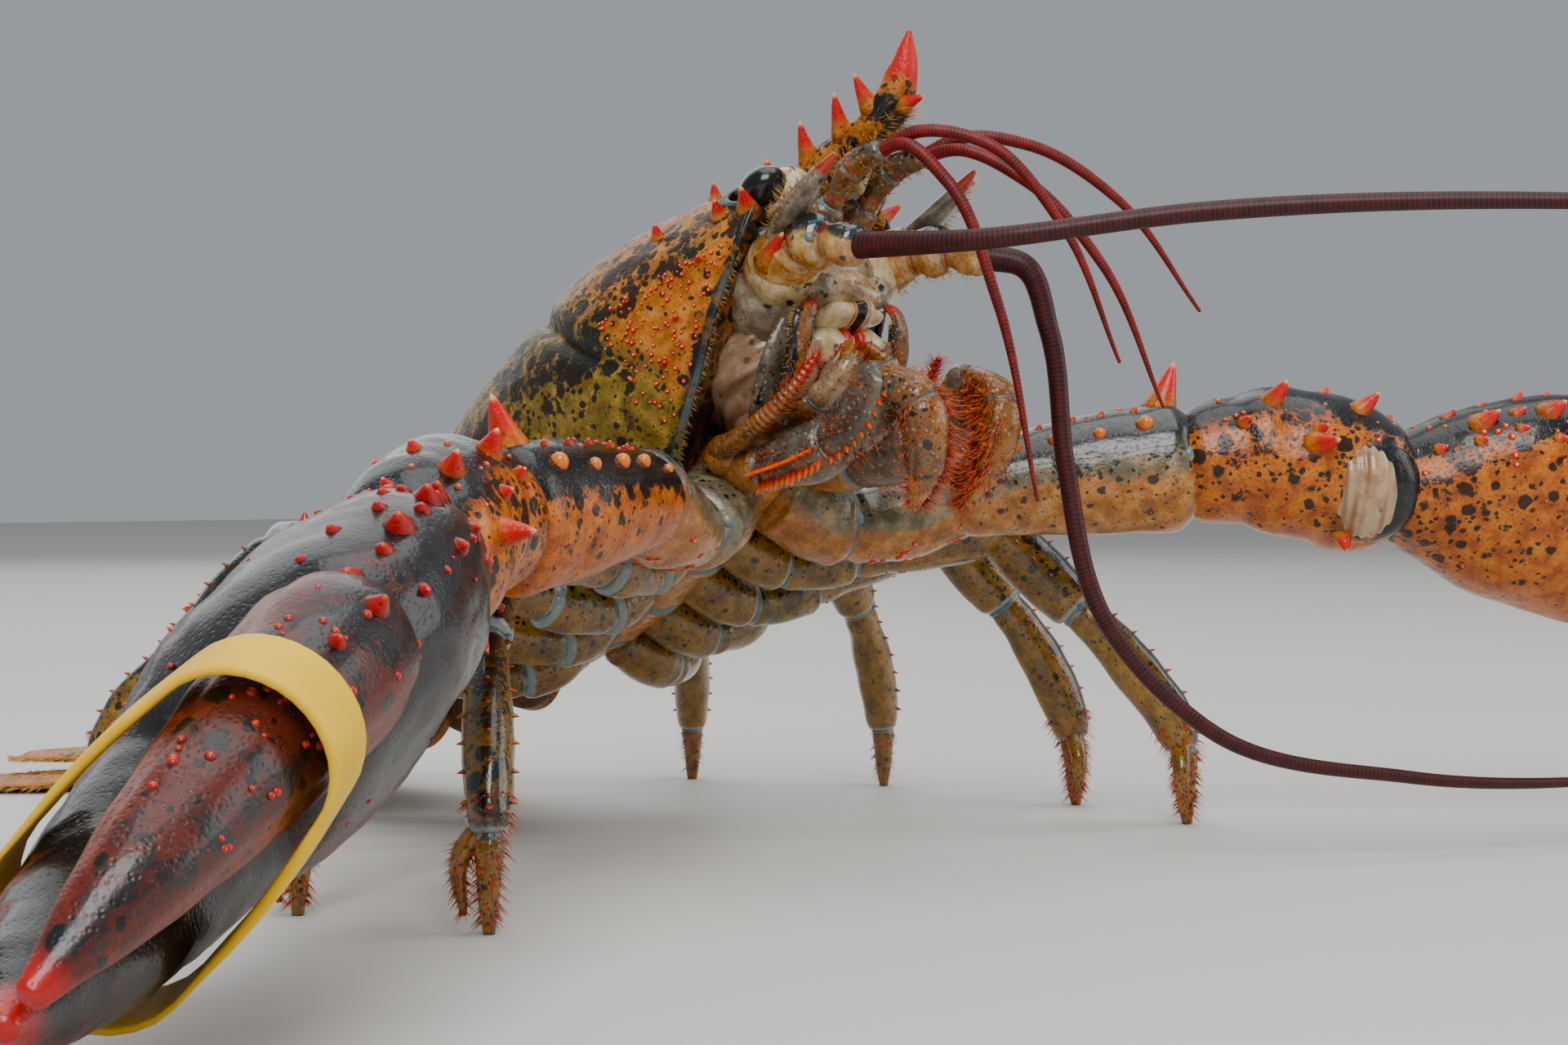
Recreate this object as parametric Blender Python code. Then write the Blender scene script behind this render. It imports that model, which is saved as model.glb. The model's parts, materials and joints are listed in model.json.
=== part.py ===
"""A life-size American lobster, standing on its walking legs with both claws spread.

Run with: blender --background --python part.py
Units are metres and +Z is up. The head faces -Y, so the animal's left is at +X.
"""

import math

import bmesh
import bpy
import numpy as np
from mathutils import Vector
from mathutils.bvhtree import BVHTree

# Driving dimensions
CARAPACE_LENGTH = 0.105  # from the eye socket to the carapace's rear edge
MM = CARAPACE_LENGTH / 105.0  # a millimetre on an animal of that carapace length
PITCH = math.radians(35)  # how far the head is raised
AXIS_HEIGHT = 45 * MM  # height of the body axis at the carapace's rear edge
GAP = 0.0003  # clearance that touching pieces keep
FLAT = math.radians(1)  # faces that meet at less than this are made one

# Body sizes, in millimetres of the MM scale
ROSTRUM_LENGTH = 35
RIGHT_CLAW_LENGTH = 118
LEFT_CLAW_LENGTH = 122
ANTENNA_GIRTH = 2.3  # half the thickness of the feeler at its base
BAND_WIDTH = 9
BAND_THICKNESS = 1.5
BAND_CLEARANCE = 0.9

# Half width, dorsal height and ventral depth of the carapace, by distance forward of its rear edge
CARAPACE_GIRTH = [
    (-2, 20.5, 19.5, 16.5),
    (18, 25.2, 24.3, 21.0),
    (45, 27.0, 27.0, 22.5),
    (70, 26.0, 25.5, 21.8),
    (88, 21.8, 20.0, 17.5),
    (106, 16.5, 12.5, 11.0),
]
# The rear and front outlines: share of the way round from back to belly, distance forward
REAR_OUTLINE = [(0, 2.5), (0.3, 0), (0.6, -1), (0.82, 5), (1, 6)]
FRONT_OUTLINE = [
    (0, 101),
    (0.12, 101),
    (0.22, 97.5),
    (0.30, 99.5),
    (0.36, 103.5),
    (0.44, 102),
    (0.52, 98),
    (0.60, 92),
    (0.70, 82.5),
    (0.82, 66),
    (1, 62),
]
SIDE_SHARE = 0.5  # share of the half section from the back down to its widest level
MARGIN_SHARE = 0.82  # share of the half section down to the carapace's lower edge
MARGIN_WIDTH = 0.70  # width at the lower edge over the greatest width

# Abdomen: centre line of the rear body, and half width, height, pleuron depth along it
TAIL_ROUTE = [(-5, 47), (8, 40), (25, 32), (43, 26), (61, 21.5), (79, 17), (97, 11.5)]
TAIL_GIRTH = [
    (0.0, 20.5, 15.0, 11.0),
    (0.3, 25.0, 15.5, 16.5),
    (0.6, 23.5, 14.0, 15.5),
    (0.85, 20.0, 11.0, 12.5),
    (1.0, 15.5, 7.0, 7.5),
]


forms = {}  # the plain forms each solid was joined from, by its name


def shell_material(name, colour, roughness=0.3):
    material = bpy.data.materials.new(name)
    material.use_nodes = True
    shader = material.node_tree.nodes["Principled BSDF"]
    shader.inputs["Base Color"].default_value = (*colour, 1.0)
    shader.inputs["Roughness"].default_value = roughness
    shader.inputs["Metallic"].default_value = 0.0
    material.diffuse_color = (*colour, 1.0)
    return material


def make_materials():
    return {
        "shell": shell_material("shell", (0.22, 0.12, 0.035)),
        "claw": shell_material("claw", (0.42, 0.15, 0.03), 0.25),
        "leg": shell_material("leg", (0.16, 0.10, 0.035)),
        "underside": shell_material("underside", (0.35, 0.24, 0.14), 0.4),
        "feeler": shell_material("feeler", (0.16, 0.02, 0.015)),
        "eye": shell_material("eye", (0.006, 0.006, 0.008), 0.1),
        "band": shell_material("band", (0.85, 0.62, 0.02), 0.45),
    }


def body(x, forward, height):
    """World point of a place in the raised front body, given in millimetres."""
    return MM * np.array(
        [
            x,
            -forward * math.cos(PITCH) + height * math.sin(PITCH),
            AXIS_HEIGHT / MM + forward * math.sin(PITCH) + height * math.cos(PITCH),
        ]
    )


def world(x, y, z):
    """World point given in millimetres, with y counted from the carapace's rear edge."""
    return MM * np.array([x, y, z], float)


def unit(vector):
    vector = np.asarray(vector, float)
    return vector / np.linalg.norm(vector)


def along(table, t):
    """Smooth value at t of a short table whose rows are (t, value, value...)."""
    table = np.asarray(table, float)
    knots, values = table[:, 0], table[:, 1:]
    slopes = np.gradient(values, knots, axis=0)
    t = min(max(t, knots[0]), knots[-1])
    i = min(int(np.searchsorted(knots, t, side="right")) - 1, len(knots) - 2)
    step = knots[i + 1] - knots[i]
    s = (t - knots[i]) / step
    return (
        (2 * s**3 - 3 * s**2 + 1) * values[i]
        + (s**3 - 2 * s**2 + s) * step * slopes[i]
        + (3 * s**2 - 2 * s**3) * values[i + 1]
        + (s**3 - s**2) * step * slopes[i + 1]
    )


class Limb:
    """A tapered form along a smooth route. Girths are half sizes in millimetres."""

    def __init__(self, route, girth, up, start_bulge=0.3, end_bulge=0.5):
        points = np.array(route, float)
        lengths = np.linalg.norm(np.diff(points, axis=0), axis=1)
        stations = np.concatenate([[0], np.cumsum(lengths)]) / lengths.sum()
        self.route = np.column_stack([stations, points])
        self.girth = girth
        self.up = np.asarray(up, float)
        self.bulges = (start_bulge, end_bulge)

    def centre(self, t):
        return along(self.route, t)

    def frame(self, t):
        """Forward, side and top directions of the limb at t."""
        ahead = unit(self.centre(min(t + 0.01, 1)) - self.centre(max(t - 0.01, 0)))
        side = unit(np.cross(ahead, self.up))
        return ahead, side, np.cross(side, ahead)

    def size(self, t):
        return along(self.girth, t) * MM

    def surface(self, t, angle):
        """Point and outward direction at t, turned by angle from the side towards the top."""
        _, side, top = self.frame(t)
        wide, high = self.size(t)[:2]
        c, s = math.cos(angle), math.sin(angle)
        point = self.centre(t) + side * wide * c + top * high * s
        return point, unit(side * c / wide + top * s / high)

    def stations(self, count):
        """Where the rings go: at the rows of the girth table, then in the widest spaces."""
        places = sorted(row[0] for row in self.girth)
        while len(places) < count:
            spaces = [far - near for near, far in zip(places, places[1:])]
            widest = spaces.index(max(spaces))
            places.insert(widest + 1, places[widest] + spaces[widest] / 2)
        return places

    def rings(self, count, sides):
        turns = [2 * math.pi * i / sides for i in range(sides)]
        return [[self.surface(t, a)[0] for a in turns] for t in self.stations(count)]

    def poles(self):
        first, last = self.frame(0)[0], self.frame(1)[0]
        return (
            self.centre(0) - first * self.size(0)[1] * self.bulges[0],
            self.centre(1) + last * self.size(1)[1] * self.bulges[1],
        )

    def mesh(self, name, count, sides):
        return loft(name, self.rings(count, sides), *self.poles())

    def spine(self, t, degrees, length, radius, lean=0.35, sides=4):
        """A spine at t whose root is turned by degrees from the side towards the top."""
        root, out = self.surface(t, math.radians(degrees))
        ahead = self.frame(t)[0]
        return spine(root, unit(out + ahead * lean), length, radius, sides)


def object_of(name, mesh):
    bmesh.ops.recalc_face_normals(mesh, faces=mesh.faces)
    bmesh.ops.triangulate(mesh, faces=mesh.faces)
    data = bpy.data.meshes.new(name)
    mesh.to_mesh(data)
    mesh.free()
    item = bpy.data.objects.new(name, data)
    bpy.context.scene.collection.objects.link(item)
    return item


def loft(name, rings, first_pole=None, last_pole=None):
    """One closed form through the rings, with a fan to a pole or a flat cap at each end."""
    mesh = bmesh.new()
    loops = [[mesh.verts.new(point) for point in ring] for ring in rings]
    count = len(loops[0])
    for near, far in zip(loops, loops[1:]):
        for i in range(count):
            j = (i + 1) % count
            mesh.faces.new((near[i], near[j], far[j], far[i]))
    for loop, pole in ((loops[0], first_pole), (loops[-1], last_pole)):
        if pole is None:
            mesh.faces.new(loop)
            continue
        tip = mesh.verts.new(pole)
        for i in range(count):
            mesh.faces.new((loop[i], loop[(i + 1) % count], tip))
    return object_of(name, mesh)


def spine(root, direction, length, radius, sides=4, sunk=0.6):
    """A tapering spine with its root sunk below the surface. Length and radius in millimetres."""
    direction = unit(direction)
    side = unit(np.cross(direction, [0.31, 0.83, 0.46]))
    top = np.cross(direction, side)
    start = root - direction * radius * sunk * MM
    rings = []
    for share, girth in ((0, 1.0), (0.45, 0.5)):
        centre = start + direction * length * share * MM
        rings.append(
            [
                centre
                + girth * radius * MM * (side * math.cos(a) + top * math.sin(a))
                for a in (2 * math.pi * i / sides for i in range(sides))
            ]
        )
    return loft("spine", rings, start, root + direction * length * MM)


def knob(centre, radii, segments=8, rings=5):
    """A rounded lump from a sphere. Radii in millimetres."""
    mesh = bmesh.new()
    bmesh.ops.create_uvsphere(mesh, u_segments=segments, v_segments=rings, radius=1)
    for vert in mesh.verts:
        vert.co = Vector(centre) + Vector(c * r * MM for c, r in zip(vert.co, radii))
    return object_of("knob", mesh)


def is_closed(mesh):
    return all(len(edge.link_faces) == 2 for edge in mesh.edges)


def merged(data):
    """A working copy of a mesh with its coincident points merged, and whether it is closed."""
    for near in (2e-6, 4e-7, 5e-8):
        mesh = bmesh.new()
        mesh.from_mesh(data)
        bmesh.ops.remove_doubles(mesh, verts=mesh.verts, dist=near)
        bmesh.ops.dissolve_degenerate(mesh, edges=mesh.edges, dist=near)
        if is_closed(mesh):
            return mesh, True
    return mesh, False


def surface_tree(data):
    mesh = bmesh.new()
    mesh.from_mesh(data)
    tree = BVHTree.FromBMesh(mesh)
    mesh.free()
    return tree


def boolean(item, others, operation, neighbour=None):
    """Joins the others to the item, or cuts them from it, and removes them.

    The first solver whose result is closed and clear of the neighbour is used.
    """
    if not others:
        return item
    tree = surface_tree(neighbour.data) if neighbour else None
    group = bpy.data.collections.new("operands")
    for other in others:
        group.objects.link(other)
    modifier = item.modifiers.new("operation", "BOOLEAN")
    modifier.operation = operation
    modifier.operand_type = "COLLECTION"
    modifier.collection = group
    for solver in ("EXACT", "MANIFOLD"):
        modifier.solver = solver
        graph = bpy.context.evaluated_depsgraph_get()
        data = bpy.data.meshes.new_from_object(item.evaluated_get(graph))
        mesh, closed = merged(data)
        mesh.free()
        if closed and not (tree and surface_tree(data).overlap(tree)):
            break
    item.modifiers.clear()
    item.data = data
    for other in others:
        bpy.data.objects.remove(other)
    bpy.data.collections.remove(group)
    return item


def grown(form):
    """A copy of one plain form grown by the gap, used as a cutter."""
    mesh = bmesh.new()
    mesh.from_mesh(form)
    mesh.normal_update()
    moves = [v.normal * GAP * min(v.calc_shell_factor(), 2.0) for v in mesh.verts]
    for vert, move in zip(mesh.verts, moves):
        vert.co += move
    return object_of("cutter", mesh)


def keep_largest(item):
    """Leaves only the largest closed surface of a mesh."""
    mesh = merged(item.data)[0]
    left = set(mesh.verts)
    islands = []
    while left:
        seed = left.pop()
        island, queue = {seed}, [seed]
        while queue:
            for edge in queue.pop().link_edges:
                for vert in edge.verts:
                    if vert in left:
                        left.discard(vert)
                        island.add(vert)
                        queue.append(vert)
        islands.append(island)
    largest = max(islands, key=len)
    loose = [v for island in islands if island is not largest for v in island]
    bmesh.ops.delete(mesh, geom=loose, context="VERTS")
    plain = mesh.copy()
    bmesh.ops.dissolve_limit(plain, angle_limit=FLAT, verts=plain.verts, edges=plain.edges)
    for version in (plain, mesh):
        bmesh.ops.triangulate(version, faces=version.faces)
        version.to_mesh(item.data)
        if is_closed(version):
            break
    plain.free()
    mesh.free()


def boxes_meet(data, other):
    """Whether the boxes round two meshes meet, with the gap between them."""
    spans = []
    for mesh in (data, other):
        corners = np.array([v.co for v in mesh.vertices])
        spans.append((corners.min(0) - GAP, corners.max(0) + GAP))
    return bool(np.all(spans[0][0] < spans[1][1]) and np.all(spans[1][0] < spans[0][1]))


def node(name, material, pieces, neighbours=()):
    """One named solid: the pieces joined, then cut clear of the neighbours it meets."""
    forms[name] = [piece.data.copy() for piece in pieces]
    item = boolean(pieces[0], pieces[1:], "UNION")
    for neighbour in neighbours:
        near = [form for form in forms[neighbour.name] if boxes_meet(form, item.data)]
        boolean(item, [grown(form) for form in near], "DIFFERENCE", neighbour)
    keep_largest(item)
    item.name = name
    item.data.name = name
    item.data.materials.clear()
    item.data.materials.append(material)
    item.data.shade_smooth()
    item.data.set_sharp_from_angle(angle=math.radians(40))
    return item


def cut_at_floor(item):
    """Gives the piece a flat where it meets the floor."""
    mesh = bmesh.new()
    bmesh.ops.create_cube(mesh, size=1)
    for vert in mesh.verts:
        vert.co.z -= 0.5
    boolean(item, [object_of("floor", mesh)], "DIFFERENCE")
    keep_largest(item)


def carapace_section(share):
    """Shape of the half section: side and height as shares of the girth, above or below."""
    if share <= SIDE_SHARE:
        turn = share / SIDE_SHARE * math.pi / 2
        return math.sin(turn), math.cos(turn)
    if share <= MARGIN_SHARE:
        down = (share - SIDE_SHARE) / (MARGIN_SHARE - SIDE_SHARE)
        return 1 - (1 - MARGIN_WIDTH) * down**2, -down
    inward = (share - MARGIN_SHARE) / (1 - MARGIN_SHARE)
    return MARGIN_WIDTH * (1 - inward), -1 + 0.3 * math.sin(inward * math.pi / 2)


def groove_depth(share, forward):
    """How deep the neck groove lies at a place on the carapace, in millimetres."""
    line = 47 + 22 * max(share - 0.12, 0) / 0.4
    fade = max(0.0, 1 - max(share - 0.55, 0) / 0.12)
    return 1.6 * fade * math.exp(-(((forward - line) / 2.6) ** 2))


def carapace_point(share, t):
    """Animal coordinates at a share round the half section and t from rear to front."""
    rear, front = along(REAR_OUTLINE, share)[0], along(FRONT_OUTLINE, share)[0]
    forward = rear + (front - rear) * t
    wide, tall, deep = along(CARAPACE_GIRTH, forward)
    side, height = carapace_section(share)
    reach = tall if height > 0 else deep
    shrink = 1 - groove_depth(share, forward) / wide
    return side * wide * shrink, forward, height * reach * shrink


def carapace_at(share, forward):
    """World point on the carapace at a share round and a distance forward, on the left."""
    rear, front = along(REAR_OUTLINE, share)[0], along(FRONT_OUTLINE, share)[0]
    return carapace_point(share, (forward - rear) / (front - rear))


CARAPACE_SHARES = [0, 0.08, 0.15, 0.22, 0.29, 0.36, 0.43, 0.51, 0.6, 0.69, 0.77, 0.82, 0.9, 1]
CARAPACE_STATIONS = [
    *np.linspace(0, 0.42, 6),
    *np.linspace(0.46, 0.62, 7),
    *np.linspace(0.69, 0.95, 5),
    1.0,
]


def carapace_shell():
    rings = []
    for t in CARAPACE_STATIONS:
        half = [carapace_point(share, t) for share in CARAPACE_SHARES]
        mirrored = [(-x, f, h) for x, f, h in half[-2:0:-1]]
        rings.append([body(*place) for place in [*half, *mirrored]])
    return loft("carapace", rings, body(0, 3, 2), body(0, 88, 0))


def rostrum():
    """The beak between the eyes, with its side spines, ventral tooth and upturned tip."""
    base, tip = 97, 101 + ROSTRUM_LENGTH
    route = [
        body(0, base, 9),
        body(0, base + 12, 9.5),
        body(0, base + 28, 9),
        body(0, tip - 5, 12),
        body(0, tip, 16.5),
    ]
    girth = [(0, 8, 5), (0.3, 5.6, 3.4), (0.65, 4.0, 3.0), (0.85, 2.6, 2.4), (1, 0.5, 0.5)]
    up = body(0, 0, 1) - body(0, 0, 0)
    beak = Limb(route, girth, up)
    pieces = [beak.mesh("rostrum", 9, 8)]
    for t, length in ((0.12, 4.6), (0.31, 6.0), (0.49, 6.6), (0.67, 5.6)):
        for degrees in (38, 142):
            pieces.append(beak.spine(t, degrees, length, 2.1, lean=0.5, sides=5))
    pieces.append(beak.spine(0.74, 270, 4, 1.7, lean=0.7))
    return pieces


def carapace_spines():
    """The spines behind the eye and on the front edge, and the tubercles of the cheek."""
    places = [
        (0.16, 93, 3.2, 1.3),
        (0.27, 84, 3.0, 1.3),
        (0.33, 97, 4.0, 1.5),
        (0.37, 102.5, 5.5, 1.9),
        (0.46, 92, 2.2, 1.0),
        (0.56, 84, 1.8, 0.9),
        (0.63, 78, 1.8, 0.9),
    ]
    pieces = []
    for share, forward, length, radius in places:
        x, f, h = carapace_at(share, forward)
        out = unit([x, 0, h])
        for mirror in (1, -1):
            direction = body(mirror * out[0], 0.9, out[2]) - body(0, 0, 0)
            pieces.append(spine(body(mirror * x, f, h), direction, length, radius))
    return pieces


def make_carapace(materials):
    pieces = [carapace_shell(), *rostrum(), *carapace_spines()]
    return node("carapace", materials["shell"], pieces)


def make_sternum(materials, carapace):
    """The narrow floor of the chest, which the legs grow from."""
    route = [body(0, f, -20) for f in (7, 26, 50, 76)]
    girth = [(0, 6, 4.5), (0.25, 9.5, 7.5), (0.7, 10.5, 8), (1, 8, 5.5)]
    floor = Limb(route, girth, body(0, 0, 1) - body(0, 0, 0))
    return node("sternum", materials["underside"], [floor.mesh("floor", 9, 10)], [carapace])


def make_head(materials, carapace, sternum):
    """The face between the edges of the carapace: antenna seats, lip and jaws."""
    pieces = [skull_lump(0, 92.5, -2.5, 15.5, 13.0, 12.0, 12, 8)]
    pieces.append(skull_lump(0, 80, -9.5, 14.2, 13.5, 11.5, 12, 8))
    for mirror in (1, -1):
        pieces.append(skull_lump(mirror * 9.5, 99, -4, 7, 7.5, 6.5))
        pieces.append(skull_lump(mirror * 4.4, 92.5, -16.5, 5.0, 4.2, 4.2))
    pieces.append(skull_lump(0, 99, -11.5, 4.5, 3.8, 3.4))
    return node("head", materials["underside"], pieces, [carapace, sternum])


def skull_lump(x, forward, height, wide, long, tall, segments=7, rings=5):
    """A rounded lump in the raised body's own directions. Sizes are half sizes."""
    mesh = bmesh.new()
    bmesh.ops.create_uvsphere(mesh, u_segments=segments, v_segments=rings, radius=1)
    for vert in mesh.verts:
        place = (
            x + vert.co.x * wide,
            forward + vert.co.y * long,
            height + vert.co.z * tall,
        )
        vert.co = body(*place)
    return object_of("lump", mesh)


def side_name(mirror):
    return "left" if mirror > 0 else "right"


def make_eyes(materials, mirror, blockers):
    side = side_name(mirror)
    up = body(0, 0, 1) - body(0, 0, 0)
    stalk = Limb(
        [body(mirror * 4.5, 100, 7), body(mirror * 8, 103, 8.2), body(mirror * 10.8, 105.4, 9)],
        [(0, 3.2, 3.2), (0.6, 3.9, 3.7), (1, 4.2, 4.0)],
        up,
    )
    ball = skull_lump(mirror * 12.8, 106.4, 9.7, 4.0, 4.4, 3.8, 10, 8)
    eye = node(f"eye_{side}", materials["eye"], [ball], blockers)
    node(
        f"eyestalk_{side}",
        materials["underside"],
        [stalk.mesh("stalk", 4, 8)],
        [*blockers, eye],
    )
    return eye


# Where the whips of the small feelers run, in millimetres from their stem's end
ANTENNULE_WHIPS = {
    -1: (
        [(0.5, -5, 1), (4, -11, -5), (8, -18, -24), (11, -24, -56)],
        [(2.5, -6, 3), (9, -15, 1), (17, -24, -12), (23, -31, -34)],
    ),
    1: (
        [(2, -6, 1), (8, -15, -4), (16, -25, -18), (23, -32, -41)],
        [(3.5, -5, 3), (12, -13, 2), (23, -23, -7), (33, -32, -25)],
    ),
}
# Where the long feelers run, in millimetres, from the end of the stem outwards
ANTENNA_ROUTES = {
    -1: [(5, -18, 0), (27, -47, 4), (68, -96, 5), (108, -142, 0), (142, -182, -9)],
    1: [
        (4, -5.5, -1.5),
        (7, -8.5, -12),
        (9, -10.5, -34),
        (13, -15, -59),
        (27, -28, -79),
        (56, -47, -87),
        (94, -66, -89),
        (136, -84, -86),
    ],
}


def make_antennule(materials, mirror, blockers):
    """The small forked feeler under the rostrum: three short segments and two whips."""
    up = body(0, 0, 1) - body(0, 0, 0)
    stem = Limb(
        [
            body(mirror * 3.6, 102, 1.5),
            body(mirror * 4.2, 110, 2.0),
            body(mirror * 4.6, 117, 3.5),
            body(mirror * 5.2, 123.5, 1.5),
        ],
        [(0, 2.9, 2.9), (0.3, 2.9, 2.7), (0.36, 2.1, 2.0), (0.65, 2.6, 2.4), (1, 2.0, 1.9)],
        up,
    )
    tip = body(mirror * 5.2, 123, 1.5)
    pieces = [stem.mesh("stem", 9, 8)]
    whip_girth = [(0, 1.15, 1.15), (0.6, 0.8, 0.8), (1, 0.3, 0.3)]
    for offsets in ANTENNULE_WHIPS[mirror]:
        start = tip - (stem.frame(1)[0] * 1.5 * MM)
        route = [start, *[tip + world(*offset) for offset in offsets]]
        pieces.append(Limb(route, whip_girth, [0.2, 0.1, 1]).mesh("whip", 10, 4))
    return node(f"antennule_{side_name(mirror)}", materials["feeler"], pieces, blockers)


def antenna_stem(mirror):
    return Limb(
        [
            body(mirror * 10.5, 99, -3.5),
            body(mirror * 13.2, 106.5, -5.0),
            body(mirror * 14.8, 112.5, -9.0),
            body(mirror * 15.5, 117.5, -14.0),
        ],
        [
            (0, 6.2, 5.8),
            (0.33, 5.0, 4.8),
            (0.42, 4.0, 4.0),
            (0.62, 4.7, 4.5),
            (0.7, 3.4, 3.4),
            (0.92, 3.7, 3.6),
            (1, 3.2, 3.2),
        ],
        body(0, 0, 1) - body(0, 0, 0),
        end_bulge=0.25,
    )


def make_antenna(materials, mirror, route, blockers):
    """The long feeler on its three-jointed stem, with the pointed scale beside it."""
    side = side_name(mirror)
    stem = antenna_stem(mirror)
    scale_root = body(mirror * 15.0, 105, -2.0)
    scale_tip = body(mirror * 17.0, 123.5, -0.5)
    scale = Limb(
        [scale_root, (scale_root + scale_tip) / 2 + world(mirror * 1.0, 0, 0), scale_tip],
        [(0, 2.6, 1.8), (0.5, 3.0, 1.4), (0.8, 1.5, 1.1), (1, 0.4, 0.4)],
        body(0, 0, 1) - body(0, 0, 0),
    )
    horn = spine(body(mirror * 16.2, 102.5, -4.5), body(mirror * 0.4, 1, 0) - body(0, 0, 0), 7, 2.4)
    base = node(
        f"antenna_{side}_stem",
        materials["underside"],
        [stem.mesh("stem", 9, 8), scale.mesh("scale", 5, 6), horn],
        blockers,
    )
    start = stem.centre(1) - stem.frame(1)[0] * 0.5 * MM
    whip = Limb(
        [start, *route],
        [
            (0, ANTENNA_GIRTH, ANTENNA_GIRTH),
            (0.3, ANTENNA_GIRTH * 0.72, ANTENNA_GIRTH * 0.72),
            (0.7, ANTENNA_GIRTH * 0.45, ANTENNA_GIRTH * 0.45),
            (1, 0.35, 0.35),
        ],
        [0.1, 0.2, 1],
    )
    node(
        f"antenna_{side}_whip",
        materials["feeler"],
        [whip.mesh("whip", 24, 6)],
        [base],
    )
    return base


def make_maxilliped(materials, mirror, blockers):
    """The outermost mouth leg: broad toothed inner joint, then a tip folded down and back."""
    up = body(0, 0, 1) - body(0, 0, 0)
    inner = Limb(
        [
            body(mirror * 8.5, 70, -23),
            body(mirror * 10.2, 79, -29),
            body(mirror * 10.8, 90, -33.5),
            body(mirror * 10.8, 100.5, -34.5),
            body(mirror * 10.8, 107.5, -32),
        ],
        [
            (0, 4.4, 4.0),
            (0.2, 4.8, 4.4),
            (0.28, 5.4, 4.2),
            (0.55, 5.9, 5.2),
            (0.62, 4.8, 4.2),
            (0.85, 5.2, 4.8),
            (1, 4.2, 4.0),
        ],
        up,
    )
    outer = Limb(
        [
            body(mirror * 10.8, 106, -32),
            body(mirror * 9.8, 110, -38.5),
            body(mirror * 8.0, 105, -46),
            body(mirror * 5.8, 97, -50),
        ],
        [(0, 3.4, 3.6), (0.3, 3.8, 3.8), (0.7, 3.0, 3.1), (1, 0.7, 0.8)],
        body(mirror, 0, 0) - body(0, 0, 0),
    )
    pieces = [inner.mesh("inner", 8, 7), outer.mesh("outer", 6, 6)]
    inward = 180 if mirror > 0 else 0
    for i in range(4):
        pieces.append(inner.spine(0.3 + 0.07 * i, inward, 1.6, 0.9, lean=0.2))
    palp = Limb(
        [
            body(mirror * 14.2, 73, -22),
            body(mirror * 16.6, 83, -25),
            body(mirror * 16.4, 93, -25),
            body(mirror * 14.6, 101, -22.5),
        ],
        [(0, 2.0, 2.0), (0.5, 1.5, 1.4), (1, 0.5, 0.5)],
        up,
    )
    root = skull_lump(mirror * 11.2, 72.5, -22.5, 5.2, 3.8, 3.6)
    pieces += [palp.mesh("palp", 5, 4), root]
    return node(
        f"maxilliped_{side_name(mirror)}", materials["underside"], pieces, blockers
    )


def make_mouthparts(materials, blockers):
    """The smaller mouth legs, folded over the jaws between the two large ones."""
    up = body(0, 0, 1) - body(0, 0, 0)
    pieces = [skull_lump(0, 78, -18.5, 10, 9, 7, 8, 6)]
    for mirror in (1, -1):
        fold = Limb(
            [
                body(mirror * 6, 79, -20.5),
                body(mirror * 6.5, 89, -24),
                body(mirror * 4.5, 98, -22),
                body(mirror * 2.6, 97.5, -18),
            ],
            [(0, 3.4, 2.8), (0.5, 3.2, 2.4), (1, 1.2, 1.0)],
            up,
        )
        pieces.append(fold.mesh("fold", 5, 5))
    return node("mouthparts", materials["underside"], pieces, blockers)


def bent_limb(points, girth, up, **bulges):
    return Limb([world(*p) for p in points], girth, up, **bulges)


# The arms: root joints in the raised body's directions, then the rest in world directions
ARM_ROOT = [(6, 62.5, -23.5), (18.5, 63.5, -31), (29, 68, -32.5), (38, 73, -31)]
ARM_ROUTES = {
    -1: {
        "merus": [(-35, -78.5, 61), (-56, -86, 60), (-78, -91, 58)],
        "carpus": [(-74, -90.5, 58.5), (-91, -96, 57.5), (-106, -106, 51)],
    },
    1: {
        "merus": [(35, -78.5, 61), (51, -94.5, 64.5), (66, -110, 66.5)],
        "carpus": [(63, -107.5, 66), (78, -121, 67.5), (92.5, -134.5, 62)],
    },
}
ROOT_GIRTH = [(0, 8, 6.6), (0.35, 8.6, 7.2), (0.42, 7.6, 6.6), (0.7, 8.6, 7.6), (1, 8.8, 8.2)]
MERUS_GIRTH = [(0, 7.6, 7.2), (0.3, 8.4, 9.0), (0.75, 9.0, 11.0), (0.95, 8.8, 10.6), (1, 7.6, 9)]
CARPUS_GIRTH = [(0, 7.4, 7.8), (0.25, 10.4, 11.5), (0.6, 12.2, 13.2), (0.92, 11.6, 11.8), (1, 10, 10)]


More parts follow.
